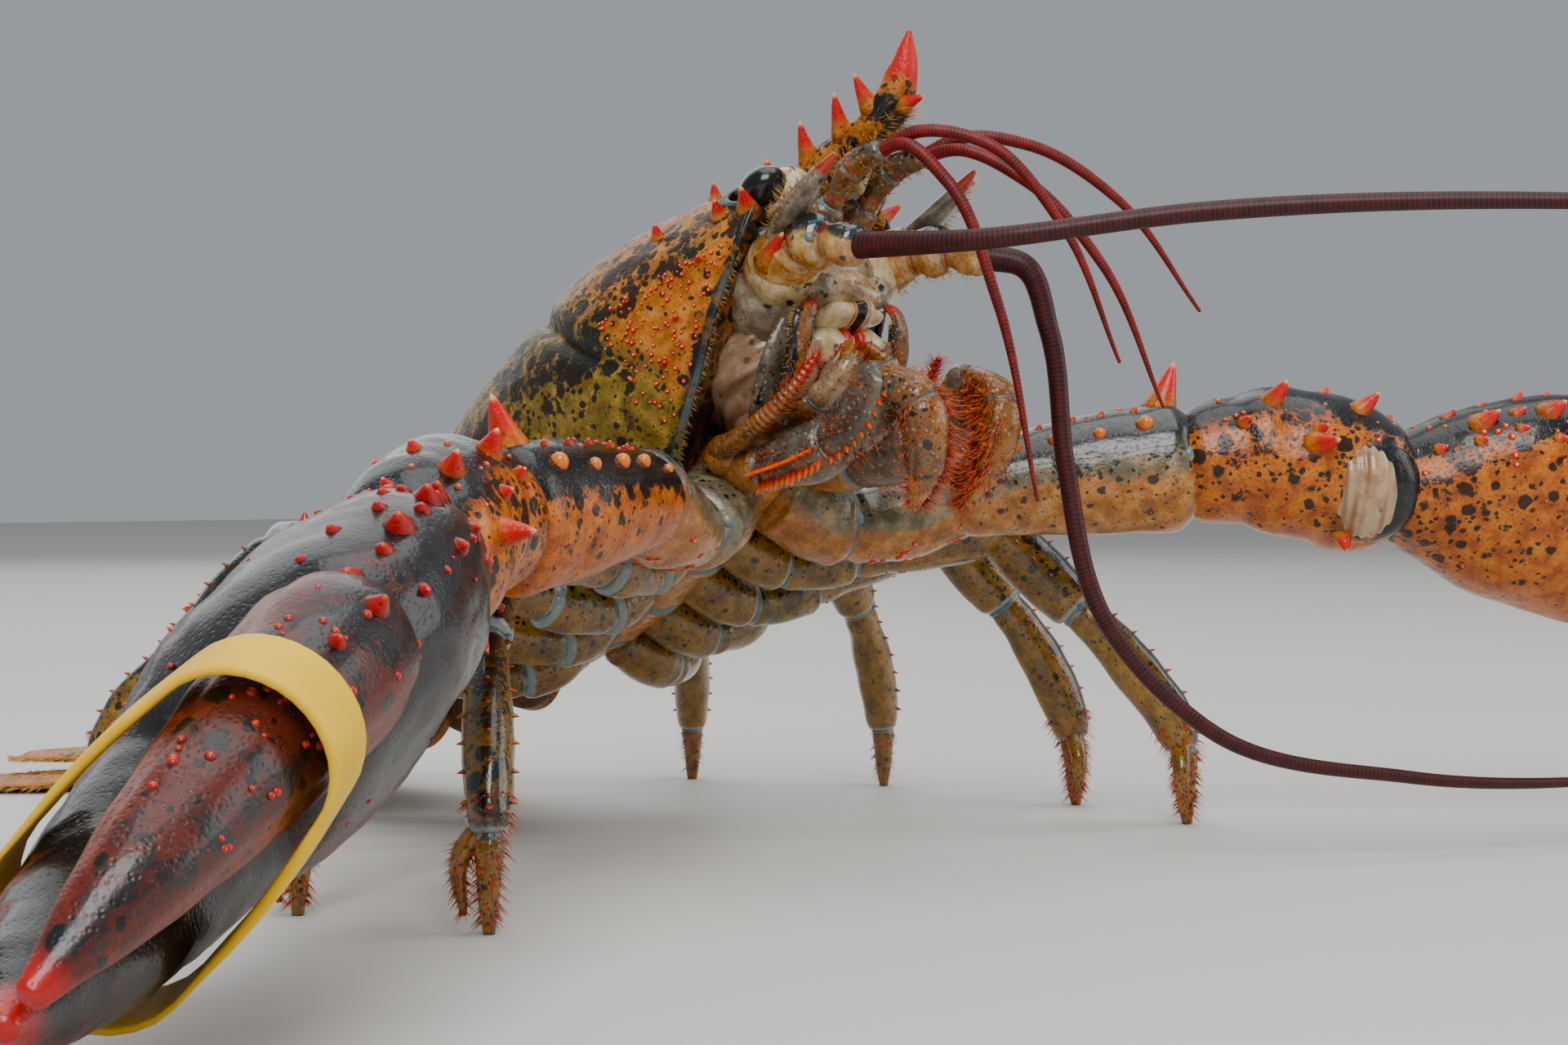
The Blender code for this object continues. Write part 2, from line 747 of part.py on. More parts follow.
def make_arm(materials, mirror, blockers):
    """Shoulder, upper arm and wrist joint of one claw arm."""
    side = side_name(mirror)
    routes = ARM_ROUTES[mirror]
    root = Limb([body(mirror * x, f, h) for x, f, h in ARM_ROOT], ROOT_GIRTH, [0, 0, 1])
    root_node = node(
        f"arm_{side}_root", materials["claw"], [root.mesh("root", 9, 10)], blockers
    )
    merus = bent_limb(routes["merus"], MERUS_GIRTH, [0, 0, 1], end_bulge=0.35)
    outward = 0 if mirror > 0 else 180
    inward = 180 - outward
    pieces = [merus.mesh("merus", 9, 12)]
    pieces.append(merus.spine(0.9, 90, 9.0, 3.4, lean=0.5))
    for t, length in ((0.34, 1.8), (0.48, 2.0), (0.62, 2.4), (0.76, 2.6)):
        pieces.append(merus.spine(t, 90 - 40 * (1 if inward == 0 else -1), length, 1.3))
    pieces.append(merus.spine(0.9, inward, 3.5, 1.6))
    merus_node = node(
        f"arm_{side}_merus", materials["claw"], pieces, [*blockers, root_node]
    )
    carpus = bent_limb(routes["carpus"], CARPUS_GIRTH, [0, 0, 1], end_bulge=0.25)
    lean_in = 1 if inward == 0 else -1
    pieces = [carpus.mesh("carpus", 9, 12)]
    pieces.append(carpus.spine(0.42, 90 - 35 * lean_in, 5.5, 2.4))
    pieces.append(carpus.spine(0.74, 90 - 25 * lean_in, 5.0, 2.2))
    pieces.append(carpus.spine(0.78, 90 - 75 * lean_in, 6.5, 2.6))
    pieces.append(carpus.spine(0.82, -55 * lean_in + (0 if lean_in > 0 else 180), 4.0, 2.0))
    carpus_node = node(
        f"arm_{side}_carpus", materials["claw"], pieces, [*blockers, merus_node]
    )
    return root_node, merus_node, carpus_node


class Claw:
    """Directions of one claw: along it, up to its spiny edge, and out of its broad face."""

    def __init__(self, wrist, towards, edge, length, palm, finger):
        self.wrist = world(*wrist)
        self.ahead = unit(towards)
        edge = np.asarray(edge, float)
        self.edge = unit(edge - self.ahead * (edge @ self.ahead))
        self.face = np.cross(self.ahead, self.edge)
        self.stretch = length / 118.0
        self.palm_table, self.finger_table = palm, finger

    def place(self, a, b, c=0.0):
        return (
            self.wrist
            + (self.ahead * a * self.stretch + self.edge * b + self.face * c) * MM
        )

    def limb(self, table):
        """A form whose table rows are distance, middle, half height and half thickness."""
        route = [self.place(a, b) for a, b, _, _ in table]
        limb = Limb(route, [], self.edge)
        stations = limb.route[:, 0]
        limb.girth = [(s, thick, high) for s, (_, _, high, thick) in zip(stations, table)]
        limb.bulges = (0.2, 0.8)
        return limb


CRUSHER_PALM = [
    (-3, 0, 7.5, 7.5),
    (5, 0.5, 13, 11),
    (20, 1, 21.5, 14.5),
    (36, 0.5, 25.5, 16),
    (50, -2.5, 23.5, 15.5),
    (60, -8.5, 14.5, 13),
    (76, -10, 11.5, 11),
    (92, -8.5, 9, 8.5),
    (106, -4.5, 5.5, 5.5),
    (116, 0, 1.6, 1.8),
]
CRUSHER_FINGER = [
    (46, 13, 7, 8),
    (56, 16.5, 10.3, 10),
    (70, 17, 9.8, 9.6),
    (86, 15.0, 8.2, 8),
    (102, 10.8, 5.6, 5.6),
    (116, 5.0, 1.5, 1.7),
]
CUTTER_PALM = [
    (-3, 0, 7, 7),
    (5, 0.5, 11.5, 10),
    (20, 1, 18.5, 12.5),
    (36, 0.5, 21, 13),
    (49, -2.5, 19, 12.5),
    (58, -7.5, 11.5, 10.5),
    (76, -8.5, 8.8, 8.5),
    (94, -7, 6.8, 6.6),
    (108, -3.8, 4.2, 4.4),
    (118, 0, 1.3, 1.4),
]
CUTTER_FINGER = [
    (45, 10.5, 6, 6.5),
    (55, 12.8, 8.0, 8.2),
    (70, 12.6, 7.3, 7.4),
    (88, 10.6, 6.0, 6.0),
    (104, 7.2, 4.2, 4.2),
    (117, 3.6, 1.3, 1.4),
]


def teeth(limb, angle, stations, size, rounded):
    """Teeth along a finger's biting edge: molar lumps on the crusher, points on the cutter."""
    pieces = []
    for i, t in enumerate(stations):
        point, out = limb.surface(t, math.radians(angle))
        scale = size * (1 - 0.35 * i / len(stations)) * (1.15 if i % 2 else 0.9)
        if rounded:
            pieces.append(knob(point, [scale, scale, scale * 0.8], 6, 4))
        else:
            pieces.append(spine(point, out, scale, scale * 0.75))
    return pieces


def make_claw(materials, mirror, claw, rounded, blockers):
    side = side_name(mirror)
    palm = claw.limb(claw.palm_table)
    finger = claw.limb(claw.finger_table)
    flip = 1 if palm.frame(0.5)[1] @ claw.face > 0 else -1
    edge_rows = ((100, 4), (74, 4)) if flip > 0 else ((80, 4), (106, 4))
    pieces = [palm.mesh("palm", 13, 12)]
    for degrees, count in edge_rows:
        for i in range(count):
            t = 0.1 + 0.085 * i + (0.035 if degrees % 4 else 0)
            pieces.append(palm.spine(t, degrees, 4.6 - 0.4 * i, 2.6, lean=0.5))
    pieces += teeth(palm, 90, (0.62, 0.7, 0.79, 0.88), 2.6 if rounded else 2.2, rounded)
    palm_node = node(f"claw_{side}_palm", materials["claw"], pieces, blockers)
    pieces = [finger.mesh("finger", 9, 10)]
    pieces.append(finger.spine(0.2, 90, 3.4, 2.0, lean=0.5))
    pieces += teeth(finger, 270, (0.36, 0.5, 0.64, 0.78), 2.4 if rounded else 2.0, rounded)
    node(f"claw_{side}_finger", materials["claw"], pieces, [palm_node])
    return palm, finger


def convex_outline(points, count):
    """The stretched outline round some flat points, as one point for each of count turns."""
    middle = points.mean(axis=0)
    spread = points - middle
    outline = []
    for k in range(count):
        turn = 2 * math.pi * k / count
        ray = np.array([math.cos(turn), math.sin(turn)])
        reach = 1e9
        for m in range(72):
            normal = np.array([math.cos(math.pi * m / 36), math.sin(math.pi * m / 36)])
            facing = normal @ ray
            if facing > 0.05:
                reach = min(reach, (spread @ normal).max() / facing)
        outline.append(middle + ray * reach)
    return outline


def make_band(materials, claw, palm, finger, station):
    """The rubber band that holds the claw shut, stretched round both fingers."""
    low, high = station - BAND_WIDTH / 2 / claw.stretch, station + BAND_WIDTH / 2 / claw.stretch
    flat = []
    for limb in (palm, finger):
        for t in np.linspace(0.2, 1, 70):
            for k in range(24):
                point = limb.surface(t, 2 * math.pi * k / 24)[0] - claw.wrist
                a = point @ claw.ahead / MM / claw.stretch
                if low - 1 < a < high + 1:
                    flat.append([point @ claw.edge / MM, point @ claw.face / MM])
    outline = convex_outline(np.array(flat), 26)
    middle = np.mean(outline, axis=0)
    mesh = bmesh.new()
    loops = []
    for a, clearance in (
        (low, BAND_CLEARANCE),
        (high, BAND_CLEARANCE),
        (high, BAND_CLEARANCE + BAND_THICKNESS),
        (low, BAND_CLEARANCE + BAND_THICKNESS),
    ):
        loop = []
        for point in outline:
            out = unit(point - middle)
            b, c = point + out * clearance
            loop.append(mesh.verts.new(claw.place(a, b, c)))
        loops.append(loop)
    for near, far in zip(loops, [*loops[1:], loops[0]]):
        for i in range(len(near)):
            j = (i + 1) % len(near)
            mesh.faces.new((near[i], near[j], far[j], far[i]))
    node("claw_band", materials["band"], [object_of("band", mesh)])


# The walking legs on the left: root, coxa and ischium in the raised body's directions
LEG_ROOTS = [
    [(5, 49.5, -23.4), (17, 49.2, -30.1), (27, 52.5, -30.7)],
    [(5, 38.0, -23.4), (17.5, 37.0, -29.9), (29, 39.0, -28.9)],
    [(5, 27.0, -23.5), (17, 24.4, -28.3), (28, 24.0, -25.8)],
    [(5, 16.5, -23.7), (17, 12.6, -27.5), (26, 8.5, -23.3)],
]
# Their knees and feet in world directions
LEG_FEET = [
    [(62, -70, 56), (84, -97, 0)],
    [(68, -50, 56), (93, -64, 0)],
    [(67, -22, 53), (91, -15, 0)],
    [(54, 5, 46), (72, 23, 0)],
]
LEG_UPPER_GIRTH = [
    (0, 4.6, 4.6),
    (0.14, 5.2, 5.0),
    (0.22, 4.2, 4.2),
    (0.4, 4.7, 5.2),
    (0.44, 4.1, 4.8),
    (0.75, 4.6, 5.8),
    (0.96, 4.3, 5.3),
    (1, 3.5, 4.3),
]
LEG_LOWER_GIRTH = [
    (0, 3.8, 4.3),
    (0.12, 4.3, 5.2),
    (0.27, 4.2, 4.9),
    (0.33, 3.4, 4.0),
    (0.55, 3.8, 4.5),
    (0.74, 3.2, 3.7),
    (0.8, 2.4, 2.6),
    (0.92, 1.5, 1.6),
    (1, 0.75, 0.8),
]


def make_leg(materials, mirror, number, blockers):
    """A walking leg in two solids, parted at the knee. The first two pairs end in pincers."""
    side = side_name(mirror)
    name = f"leg_{side}_{number}"
    root, coxa, ischium = (body(mirror * x, f, h) / MM for x, f, h in LEG_ROOTS[number - 1])
    knee, foot = (np.array([mirror * x, y, z], float) for x, y, z in LEG_FEET[number - 1])
    upper = Limb(
        [MM * p for p in (root, coxa, ischium, (ischium * 2 + knee) / 3, knee)],
        LEG_UPPER_GIRTH,
        [0, 0, 1],
        end_bulge=0.5,
    )
    outward = unit([foot[0] - knee[0], foot[1] - knee[1], 0])
    lift = unit(knee - ischium)
    ankle = foot + np.array([0, 0, 1]) * 16 - outward * 1.5
    start = knee - lift * 1.5
    bend = knee + outward * 7 - np.array([0, 0, 9])
    middle = (bend + ankle) / 2 + outward * 2.5
    tip = foot - np.array([0, 0, 1.2])
    lower = Limb(
        [MM * p for p in (start, bend, middle, ankle, tip)],
        LEG_LOWER_GIRTH,
        outward,
        end_bulge=0.3,
    )
    upper_node = node(
        f"{name}_upper", materials["leg"], [upper.mesh("upper", 10, 7)], blockers
    )
    lower_pieces = [lower.mesh("lower", 10, 7)]
    if number <= 2:
        hinge = lower.centre(0.76)
        across = unit(np.cross(lower.frame(0.8)[0], outward))
        thumb = Limb(
            [
                hinge + across * 0.4 * MM,
                hinge + across * 4.0 * MM - world(0, 0, 5),
                hinge + across * 3.6 * MM - world(0, 0, 13),
            ],
            [(0, 1.8, 1.9), (0.5, 1.5, 1.6), (1, 0.5, 0.5)],
            outward,
        )
        lower_pieces.append(thumb.mesh("thumb", 4, 5))
    lower_node = node(f"{name}_lower", materials["leg"], lower_pieces, [upper_node])
    cut_at_floor(lower_node)
    return upper_node


def tail_frame(t):
    """Centre, backward and upward directions of the tail at t."""
    stations = np.linspace(0, 1, len(TAIL_ROUTE))
    table = [(s, y, z) for s, (y, z) in zip(stations, TAIL_ROUTE)]
    y, z = along(table, t)
    ahead = along(table, min(t + 0.01, 1)) - along(table, max(t - 0.01, 0))
    back = unit([0, ahead[0], ahead[1]])
    return world(0, y, z), back, unit(np.cross([1, 0, 0], back))


def tail_ring(t, swell, pleuron):
    """One section of the tail: an arched back, side plates and a flat belly."""
    centre, _, up = tail_frame(t)
    up = up if up[2] > 0 else -up
    wide, tall, deep = along(TAIL_GIRTH, t)
    wide, tall = wide * swell, tall * swell
    reach = deep * (0.55 + 0.45 * pleuron)
    half = [(0, tall), (0.34, 0.94 * tall), (0.64, 0.75 * tall), (0.87, 0.42 * tall)]
    half += [(1.0, 0.0), (0.99, -0.5 * reach), (0.93, -reach), (0.86, -0.96 * reach)]
    half += [(0.8, -0.42 * deep), (0.45, -0.5 * deep), (0, -0.52 * deep)]
    points = [centre + np.array([wide * x * MM, 0, 0]) + up * h * MM for x, h in half]
    mirrored = [p * np.array([-1, 1, 1]) for p in points[-2:0:-1]]
    return points + mirrored


SOMITE_ENDS = [0.02, 0.2, 0.37, 0.53, 0.685, 0.83, 1.0]


def swimmeret(mirror, t, length):
    """A flat swimming leg hanging under the tail and leaning back."""
    centre, back, up = tail_frame(t)
    up = up if up[2] > 0 else -up
    wide, _, deep = along(TAIL_GIRTH, t)
    root = centre + np.array([mirror * wide * 0.55 * MM, 0, 0]) - up * deep * 0.42 * MM
    reach = unit(back * 0.85 - up * 0.42 + np.array([mirror * 0.1, 0, 0]))
    route = [root, root + reach * length * 0.5 * MM, root + reach * length * MM]
    girth = [(0, 1.6, 1.2), (0.35, 3.2, 0.7), (0.75, 3.0, 0.5), (1, 0.9, 0.4)]
    return Limb(route, girth, up).mesh("swimmeret", 5, 6)


def make_tail(materials, blockers):
    """Six overlapping tail rings, each with its side plates and swimming legs."""
    previous = list(blockers)
    rings_made = []
    for number in range(6):
        first, last = SOMITE_ENDS[number], SOMITE_ENDS[number + 1]
        rings = []
        for share in (0, 0.3, 0.7, 1.0):
            t = first - 0.02 + (last - first + 0.02) * share
            swell = 0.93 + 0.09 * share**0.7
            pleuron = math.sin(math.pi * min(share * 0.72 + 0.12, 1))
            if number == 0:
                pleuron *= 0.2
            rings.append(tail_ring(max(t, 0), swell, pleuron))
        pieces = [loft("somite", rings)]
        if 0 < number < 5:
            middle = (first + last) / 2
            for mirror in (1, -1):
                pieces.append(swimmeret(mirror, middle, 15 - 1.2 * number))
        ring = node(f"tail_{number + 1}", materials["shell"], pieces, previous[-3:])
        previous = [*blockers, ring] if number == 0 else [ring]
        rings_made.append(ring)
    return rings_made


def make_fan(materials, last_ring):
    """The tail fan: telson in the middle and two blades each side."""
    telson = bent_limb(
        [(0, 94, 12.2), (0, 110, 9.4), (0, 130, 7.4)],
        [(0, 10, 2.2), (0.25, 12.8, 1.9), (0.65, 11.4, 1.4), (0.9, 9.4, 1.1), (1, 5.5, 0.9)],
        [0, 0, 1],
    )
    telson_node = node("telson", materials["shell"], [telson.mesh("telson", 7, 10)], [last_ring])
    cut_at_floor(telson_node)
    for mirror in (1, -1):
        side = side_name(mirror)
        inner = bent_limb(
            [(mirror * 7.5, 93, 8.6), (mirror * 17, 107, 6.2), (mirror * 25, 126, 4.9)],
            [(0, 4, 2.2), (0.3, 8, 1.6), (0.7, 10.5, 1.3), (0.92, 8.4, 1.0), (1, 4, 0.8)],
            [0, 0, 1],
        )
        inner_node = node(
            f"fan_{side}_inner",
            materials["shell"],
            [inner.mesh("inner", 7, 8)],
            [last_ring, telson_node],
        )
        cut_at_floor(inner_node)
        outer = bent_limb(
            [(mirror * 10, 92, 5.2), (mirror * 26, 103, 2.2), (mirror * 43, 119, 0.9)],
            [(0, 4, 2.2), (0.3, 9, 1.7), (0.68, 12.5, 1.3), (0.92, 9.5, 1.0), (1, 5, 0.8)],
            [0, 0, 1],
        )
        outer_node = node(
            f"fan_{side}_outer",
            materials["shell"],
            [outer.mesh("outer", 7, 8)],
            [last_ring, telson_node, inner_node],
        )
        cut_at_floor(outer_node)


def stand_on_origin():
    """Moves the whole animal so that its box stands centred on the origin."""
    low, high = np.full(3, 1e9), np.full(3, -1e9)
    items = [o for o in bpy.context.scene.objects if o.type == "MESH"]
    for item in items:
        corners = np.array([v.co for v in item.data.vertices])
        low, high = np.minimum(low, corners.min(0)), np.maximum(high, corners.max(0))
    anchor = bpy.data.objects.new("lobster", None)
    bpy.context.scene.collection.objects.link(anchor)
    for item in items:
        item.parent = anchor
    anchor.location = (-(low[0] + high[0]) / 2, -(low[1] + high[1]) / 2, -low[2])


def main():
    for item in list(bpy.data.objects):
        bpy.data.objects.remove(item)
    materials = make_materials()
    carapace = make_carapace(materials)
    sternum = make_sternum(materials, carapace)
    head = make_head(materials, carapace, sternum)
    mouthparts = make_mouthparts(materials, [carapace, sternum, head])
    arms = {}
    for mirror in (1, -1):
        make_eyes(materials, mirror, [carapace, head])
        make_antennule(materials, mirror, [head])
        make_antenna(
            materials,
            mirror,
            [antenna_stem(mirror).centre(1) + world(*p) for p in ANTENNA_ROUTES[mirror]],
            [head, carapace],
        )
        arms[mirror] = make_arm(materials, mirror, [sternum, carapace])
        make_maxilliped(
            materials, mirror, [carapace, sternum, head, mouthparts, arms[mirror][0]]
        )
        previous = arms[mirror][0]
        for number in (1, 2, 3, 4):
            previous = make_leg(materials, mirror, number, [sternum, carapace, previous])
    right = Claw(
        (-105, -105, 51.5),
        (-0.80, -0.50, -0.33),
        (0.40, -0.52, 0.72),
        RIGHT_CLAW_LENGTH,
        CRUSHER_PALM,
        CRUSHER_FINGER,
    )
    left = Claw(
        (91.5, -133.5, 62.5),
        (0.77, -0.62, -0.12),
        (-0.25, -0.3, 0.9),
        LEFT_CLAW_LENGTH,
        CUTTER_PALM,
        CUTTER_FINGER,
    )
    palm, finger = make_claw(materials, -1, right, True, [arms[-1][2]])
    make_claw(materials, 1, left, False, [arms[1][2]])
    make_band(materials, right, palm, finger, 80)
    rings = make_tail(materials, [carapace, sternum])
    make_fan(materials, rings[-1])
    stand_on_origin()


main()
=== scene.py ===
import json
import math

import bpy
import numpy as np
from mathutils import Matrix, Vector


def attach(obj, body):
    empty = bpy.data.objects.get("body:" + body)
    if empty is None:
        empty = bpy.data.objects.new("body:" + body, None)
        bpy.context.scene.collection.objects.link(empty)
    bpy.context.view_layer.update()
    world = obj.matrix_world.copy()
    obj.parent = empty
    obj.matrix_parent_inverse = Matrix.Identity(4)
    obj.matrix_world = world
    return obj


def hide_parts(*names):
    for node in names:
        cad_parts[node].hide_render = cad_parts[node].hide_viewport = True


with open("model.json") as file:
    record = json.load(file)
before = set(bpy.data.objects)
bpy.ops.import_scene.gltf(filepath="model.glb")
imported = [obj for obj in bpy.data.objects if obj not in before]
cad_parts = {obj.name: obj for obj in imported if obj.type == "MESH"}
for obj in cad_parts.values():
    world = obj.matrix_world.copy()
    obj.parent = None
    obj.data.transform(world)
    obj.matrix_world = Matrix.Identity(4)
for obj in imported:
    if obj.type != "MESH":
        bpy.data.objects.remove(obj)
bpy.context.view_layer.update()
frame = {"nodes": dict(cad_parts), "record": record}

random = np.random.default_rng(7)
mm = 0.001
pi = math.pi
weldReach = 2e-6  # points nearer than this, in metres, become one

stance = {
    "pitch": math.radians(35),  # how far the head is raised
    "axisHeight": 45,  # height of the body axis at the carapace's rear edge
    "shift": (6.143, 78.032, 0),  # from that edge to the middle of the animal's box
}


def fromFloor(x, y, z):
    return (np.stack(np.broadcast_arrays(x, y, z), -1) + np.array(stance["shift"])) * mm


def fromBody(x, forward, height):
    c, s = math.cos(stance["pitch"]), math.sin(stance["pitch"])
    x, forward, height = np.broadcast_arrays(x, forward, height)
    return fromFloor(x, -forward * c + height * s, stance["axisHeight"] + forward * s + height * c)


def unit(vectors):
    vectors = np.asarray(vectors, float)
    return vectors / np.maximum(np.linalg.norm(vectors, axis=-1, keepdims=True), 1e-12)


def curveBetween(s, start, end, startSlope, endSlope, step=1.0):  # a smooth curve, s runs from 0 to 1
    return (
        (2 * s**3 - 3 * s**2 + 1) * start
        + (s**3 - 2 * s**2 + s) * step * startSlope
        + (3 * s**2 - 2 * s**3) * end
        + (s**3 - s**2) * step * endSlope
    )


def valuesAlong(table, t):  # smooth values at t of rows (t, value, value...)
    table = np.asarray(table, float)
    knots, values = table[:, 0], table[:, 1:]
    slopes = np.gradient(values, knots, axis=0)
    t = np.clip(np.asarray(t, float), knots[0], knots[-1])
    i = np.clip(np.searchsorted(knots, t, side="right") - 1, 0, len(knots) - 2)
    step = (knots[i + 1] - knots[i])[..., None]
    s = (t - knots[i])[..., None] / step
    return curveBetween(s, values[i], values[i + 1], slopes[i], slopes[i + 1], step)


def smoothStep(value, low, high):  # 0 at low, 1 at high, which may lie either way round
    s = np.clip((np.asarray(value, float) - low) / (high - low), 0, 1)
    return s * s * (3 - 2 * s)


def hump(value, middle, width):  # 1 at the middle, nearly 0 two widths away
    return np.exp(-(((np.asarray(value, float) - middle) / width) ** 2))


def ripple(points, wavelength, seed):  # gentle unevenness from -1 to 1, wavelength in mm
    draw = np.random.default_rng(seed)
    waves = unit(draw.normal(size=(7, 3))) * 2 * pi / (wavelength * mm)
    phases = draw.uniform(0, 2 * pi, 7)
    return np.sin(points @ waves.T + phases).mean(-1) * 1.6


bodyUp = unit(fromBody(0, 0, 1) - fromBody(0, 0, 0))
bodyAhead = unit(fromBody(0, 1, 0) - fromBody(0, 0, 0))
bodyLeft = np.array([1.0, 0, 0])


class Limb:  # a tapered form along a smooth route, girths are half sizes in mm
    def __init__(self, route, girth, up):
        points = np.array(route, float)
        lengths = np.linalg.norm(np.diff(points, axis=0), axis=1)
        self.length = lengths.sum()
        stations = np.concatenate([[0], np.cumsum(lengths)]) / self.length
        self.route = np.column_stack([stations, points])
        self.girth, self.up = girth, np.asarray(up, float)

    def centre(self, t):
        return valuesAlong(self.route, t)

    def frame(self, t):
        t = np.asarray(t, float)
        ahead = unit(self.centre(np.minimum(t + 0.01, 1)) - self.centre(np.maximum(t - 0.01, 0)))
        side = unit(np.cross(ahead, self.up))
        return ahead, side, np.cross(side, ahead)

    def surface(self, t, angle, grow=0.0):  # points on the skin and the ways out of it, angle in radians
        t, angle = np.asarray(t, float), np.asarray(angle, float)
        _, side, top = self.frame(t)
        size = valuesAlong(self.girth, t) * mm
        c, s = np.cos(angle)[..., None], np.sin(angle)[..., None]
        out = unit(side * c / size[..., :1] + top * s / size[..., 1:2])
        point = self.centre(t) + side * size[..., :1] * c + top * size[..., 1:2] * s
        return point + out * np.asarray(grow, float)[..., None] * mm, out

    def leaning(self, t, angle, grow, lean):  # one root and its way, bent towards the limb's end
        root, out = self.surface(t, angle, grow)
        return root, out + self.frame(t)[0] * lean

    def atDegrees(self, t, degrees, grow, lean=0):
        return self.leaning(t, math.radians(degrees), grow, lean)


def onlySelect(piece):
    bpy.ops.object.select_all(action="DESELECT")
    piece.select_set(True)
    bpy.context.view_layer.objects.active = piece


def closeMesh(piece, reach=0.0):  # points within reach welded, normals outward, shaded smooth
    onlySelect(piece)
    bpy.ops.object.mode_set(mode="EDIT")
    bpy.ops.mesh.select_all(action="SELECT")
    if reach:
        bpy.ops.mesh.remove_doubles(threshold=reach)
    bpy.ops.mesh.normals_make_consistent(inside=False)
    bpy.ops.object.mode_set(mode="OBJECT")
    bpy.ops.object.shade_smooth()


plainMarks = {"dark": 0, "spot": 0.5, "warm": 0.5, "tip": 0, "rim": 0}  # what the skins read at each point


def setMarks(mesh, marks):  # values at each point, by name
    for word, values in marks.items():
        mark = mesh.attributes.new(word, "FLOAT", "POINT")
        values = np.broadcast_to(values, len(mesh.vertices)).astype(np.float32)
        mark.data.foreach_set("value", np.ascontiguousarray(values))


def shapedGrid(name, rows, cols, shape, skin):  # shape gives the places and marks for u and v from 0 to 1
    bpy.ops.object.select_all(action="DESELECT")
    bpy.ops.mesh.primitive_grid_add(x_subdivisions=cols, y_subdivisions=rows, size=1)
    piece = bpy.context.object
    piece.name = piece.data.name = name
    flat = np.empty(len(piece.data.vertices) * 3, np.float32)
    piece.data.vertices.foreach_get("co", flat)
    flat = flat.reshape(-1, 3).astype(float) + 0.5
    points, marks = shape(flat[:, 0], flat[:, 1])
    piece.data.vertices.foreach_set("co", points.astype(np.float32).ravel())
    setMarks(piece.data, marks)
    closeMesh(piece, weldReach)
    piece.data.materials.append(skins[skin])
    return piece


def limbPiece(name, limb, skin, start=0.0, end=1.0, rows=36, cols=32, bulges=(0.3, 0.4),
              profile=None, relief=None, marks=None, capShare=0.12):
    def shape(u, v):
        local = np.clip((v - capShare) / (1 - 2 * capShare), 0, 1)
        t = start + (end - start) * local
        angle = 2 * pi * u
        low, high = np.clip(v / capShare, 0, 1), np.clip((1 - v) / capShare, 0, 1)
        shrink = (np.sin(low * pi / 2) * np.sin(high * pi / 2))[:, None]
        ahead, side, top = limb.frame(t)
        size = valuesAlong(limb.girth, t) * mm
        if profile:
            size = size * profile(local)[:, None]
        wide, tall = size[:, :1], size[:, 1:2]
        c, s = np.cos(angle)[:, None], np.sin(angle)[:, None]
        out = unit(side * c / wide + top * s / tall)
        point = limb.centre(t) + (side * wide * c + top * tall * s) * shrink
        if relief:
            point = point + out * relief(t, angle, point)[:, None] * shrink * mm
        ends = np.cos(high * pi / 2) * bulges[1] - np.cos(low * pi / 2) * bulges[0]
        point = point + ahead * ends[:, None] * tall
        return point, {**plainMarks, **(marks(t, local, angle, out, point) if marks else {})}

    return shapedGrid(name, rows, cols, shape, skin)


def lump(name, centre, radii, skin, axes=None, cols=28, rows=20, relief=None, marks=None):
    axes = (bodyLeft, bodyAhead, bodyUp) if axes is None else axes

    def shape(u, v):
        turn, tilt = 2 * pi * u, pi * v
        ways = np.stack([np.cos(turn) * np.sin(tilt), np.sin(turn) * np.sin(tilt), np.cos(tilt)], -1)
        reach = 1 + (relief(ways) if relief else 0)
        spread = (ways * np.array(radii) * mm) * np.asarray(reach, float).reshape(-1, 1)
        point = centre + spread @ np.array(axes)
        return point, {**plainMarks, **(marks(ways, point) if marks else {})}

    return shapedGrid(name, rows, cols, shape, skin)


def conePattern(sides, cuts):  # one cone a metre tall, cut into rings, to be copied
    bpy.ops.object.select_all(action="DESELECT")
    bpy.ops.mesh.primitive_cone_add(vertices=sides, radius1=1, radius2=0, depth=1, location=(0, 0, 0.5))
    cone = bpy.context.object
    bpy.ops.object.transform_apply(location=True)
    bpy.ops.object.mode_set(mode="EDIT")
    for cut in cuts:
        bpy.ops.mesh.select_all(action="SELECT")
        bpy.ops.mesh.bisect(plane_co=(0, 0, cut), plane_no=(0, 0, 1))
    bpy.ops.object.mode_set(mode="OBJECT")
    points = np.array([v.co for v in cone.data.vertices])
    faces = [tuple(f.vertices) for f in cone.data.polygons]
    bpy.data.objects.remove(cone)
    around = np.linalg.norm(points[:, :2], axis=1, keepdims=True)
    ring = np.where(around > 1e-5, points[:, :2] / np.maximum(around, 1e-5), 0)
    return points[:, 2], ring, faces


patterns = {
    "spine": conePattern(9, (0.12, 0.3, 0.5, 0.7, 0.86)),
    "bead": conePattern(9, (0.3, 0.55, 0.78, 0.93)),
    "hair": conePattern(3, (0.35, 0.7)),
}
girths = {
    "spine": lambda h: (1 - h) ** 0.72 + 0.3 * np.exp(-9 * h),
    "bead": lambda h: np.sqrt(np.maximum(1 - h * h, 0)) + 0.2 * np.exp(-8 * h),
    "hair": lambda h: (1 - h) ** 0.6,
}


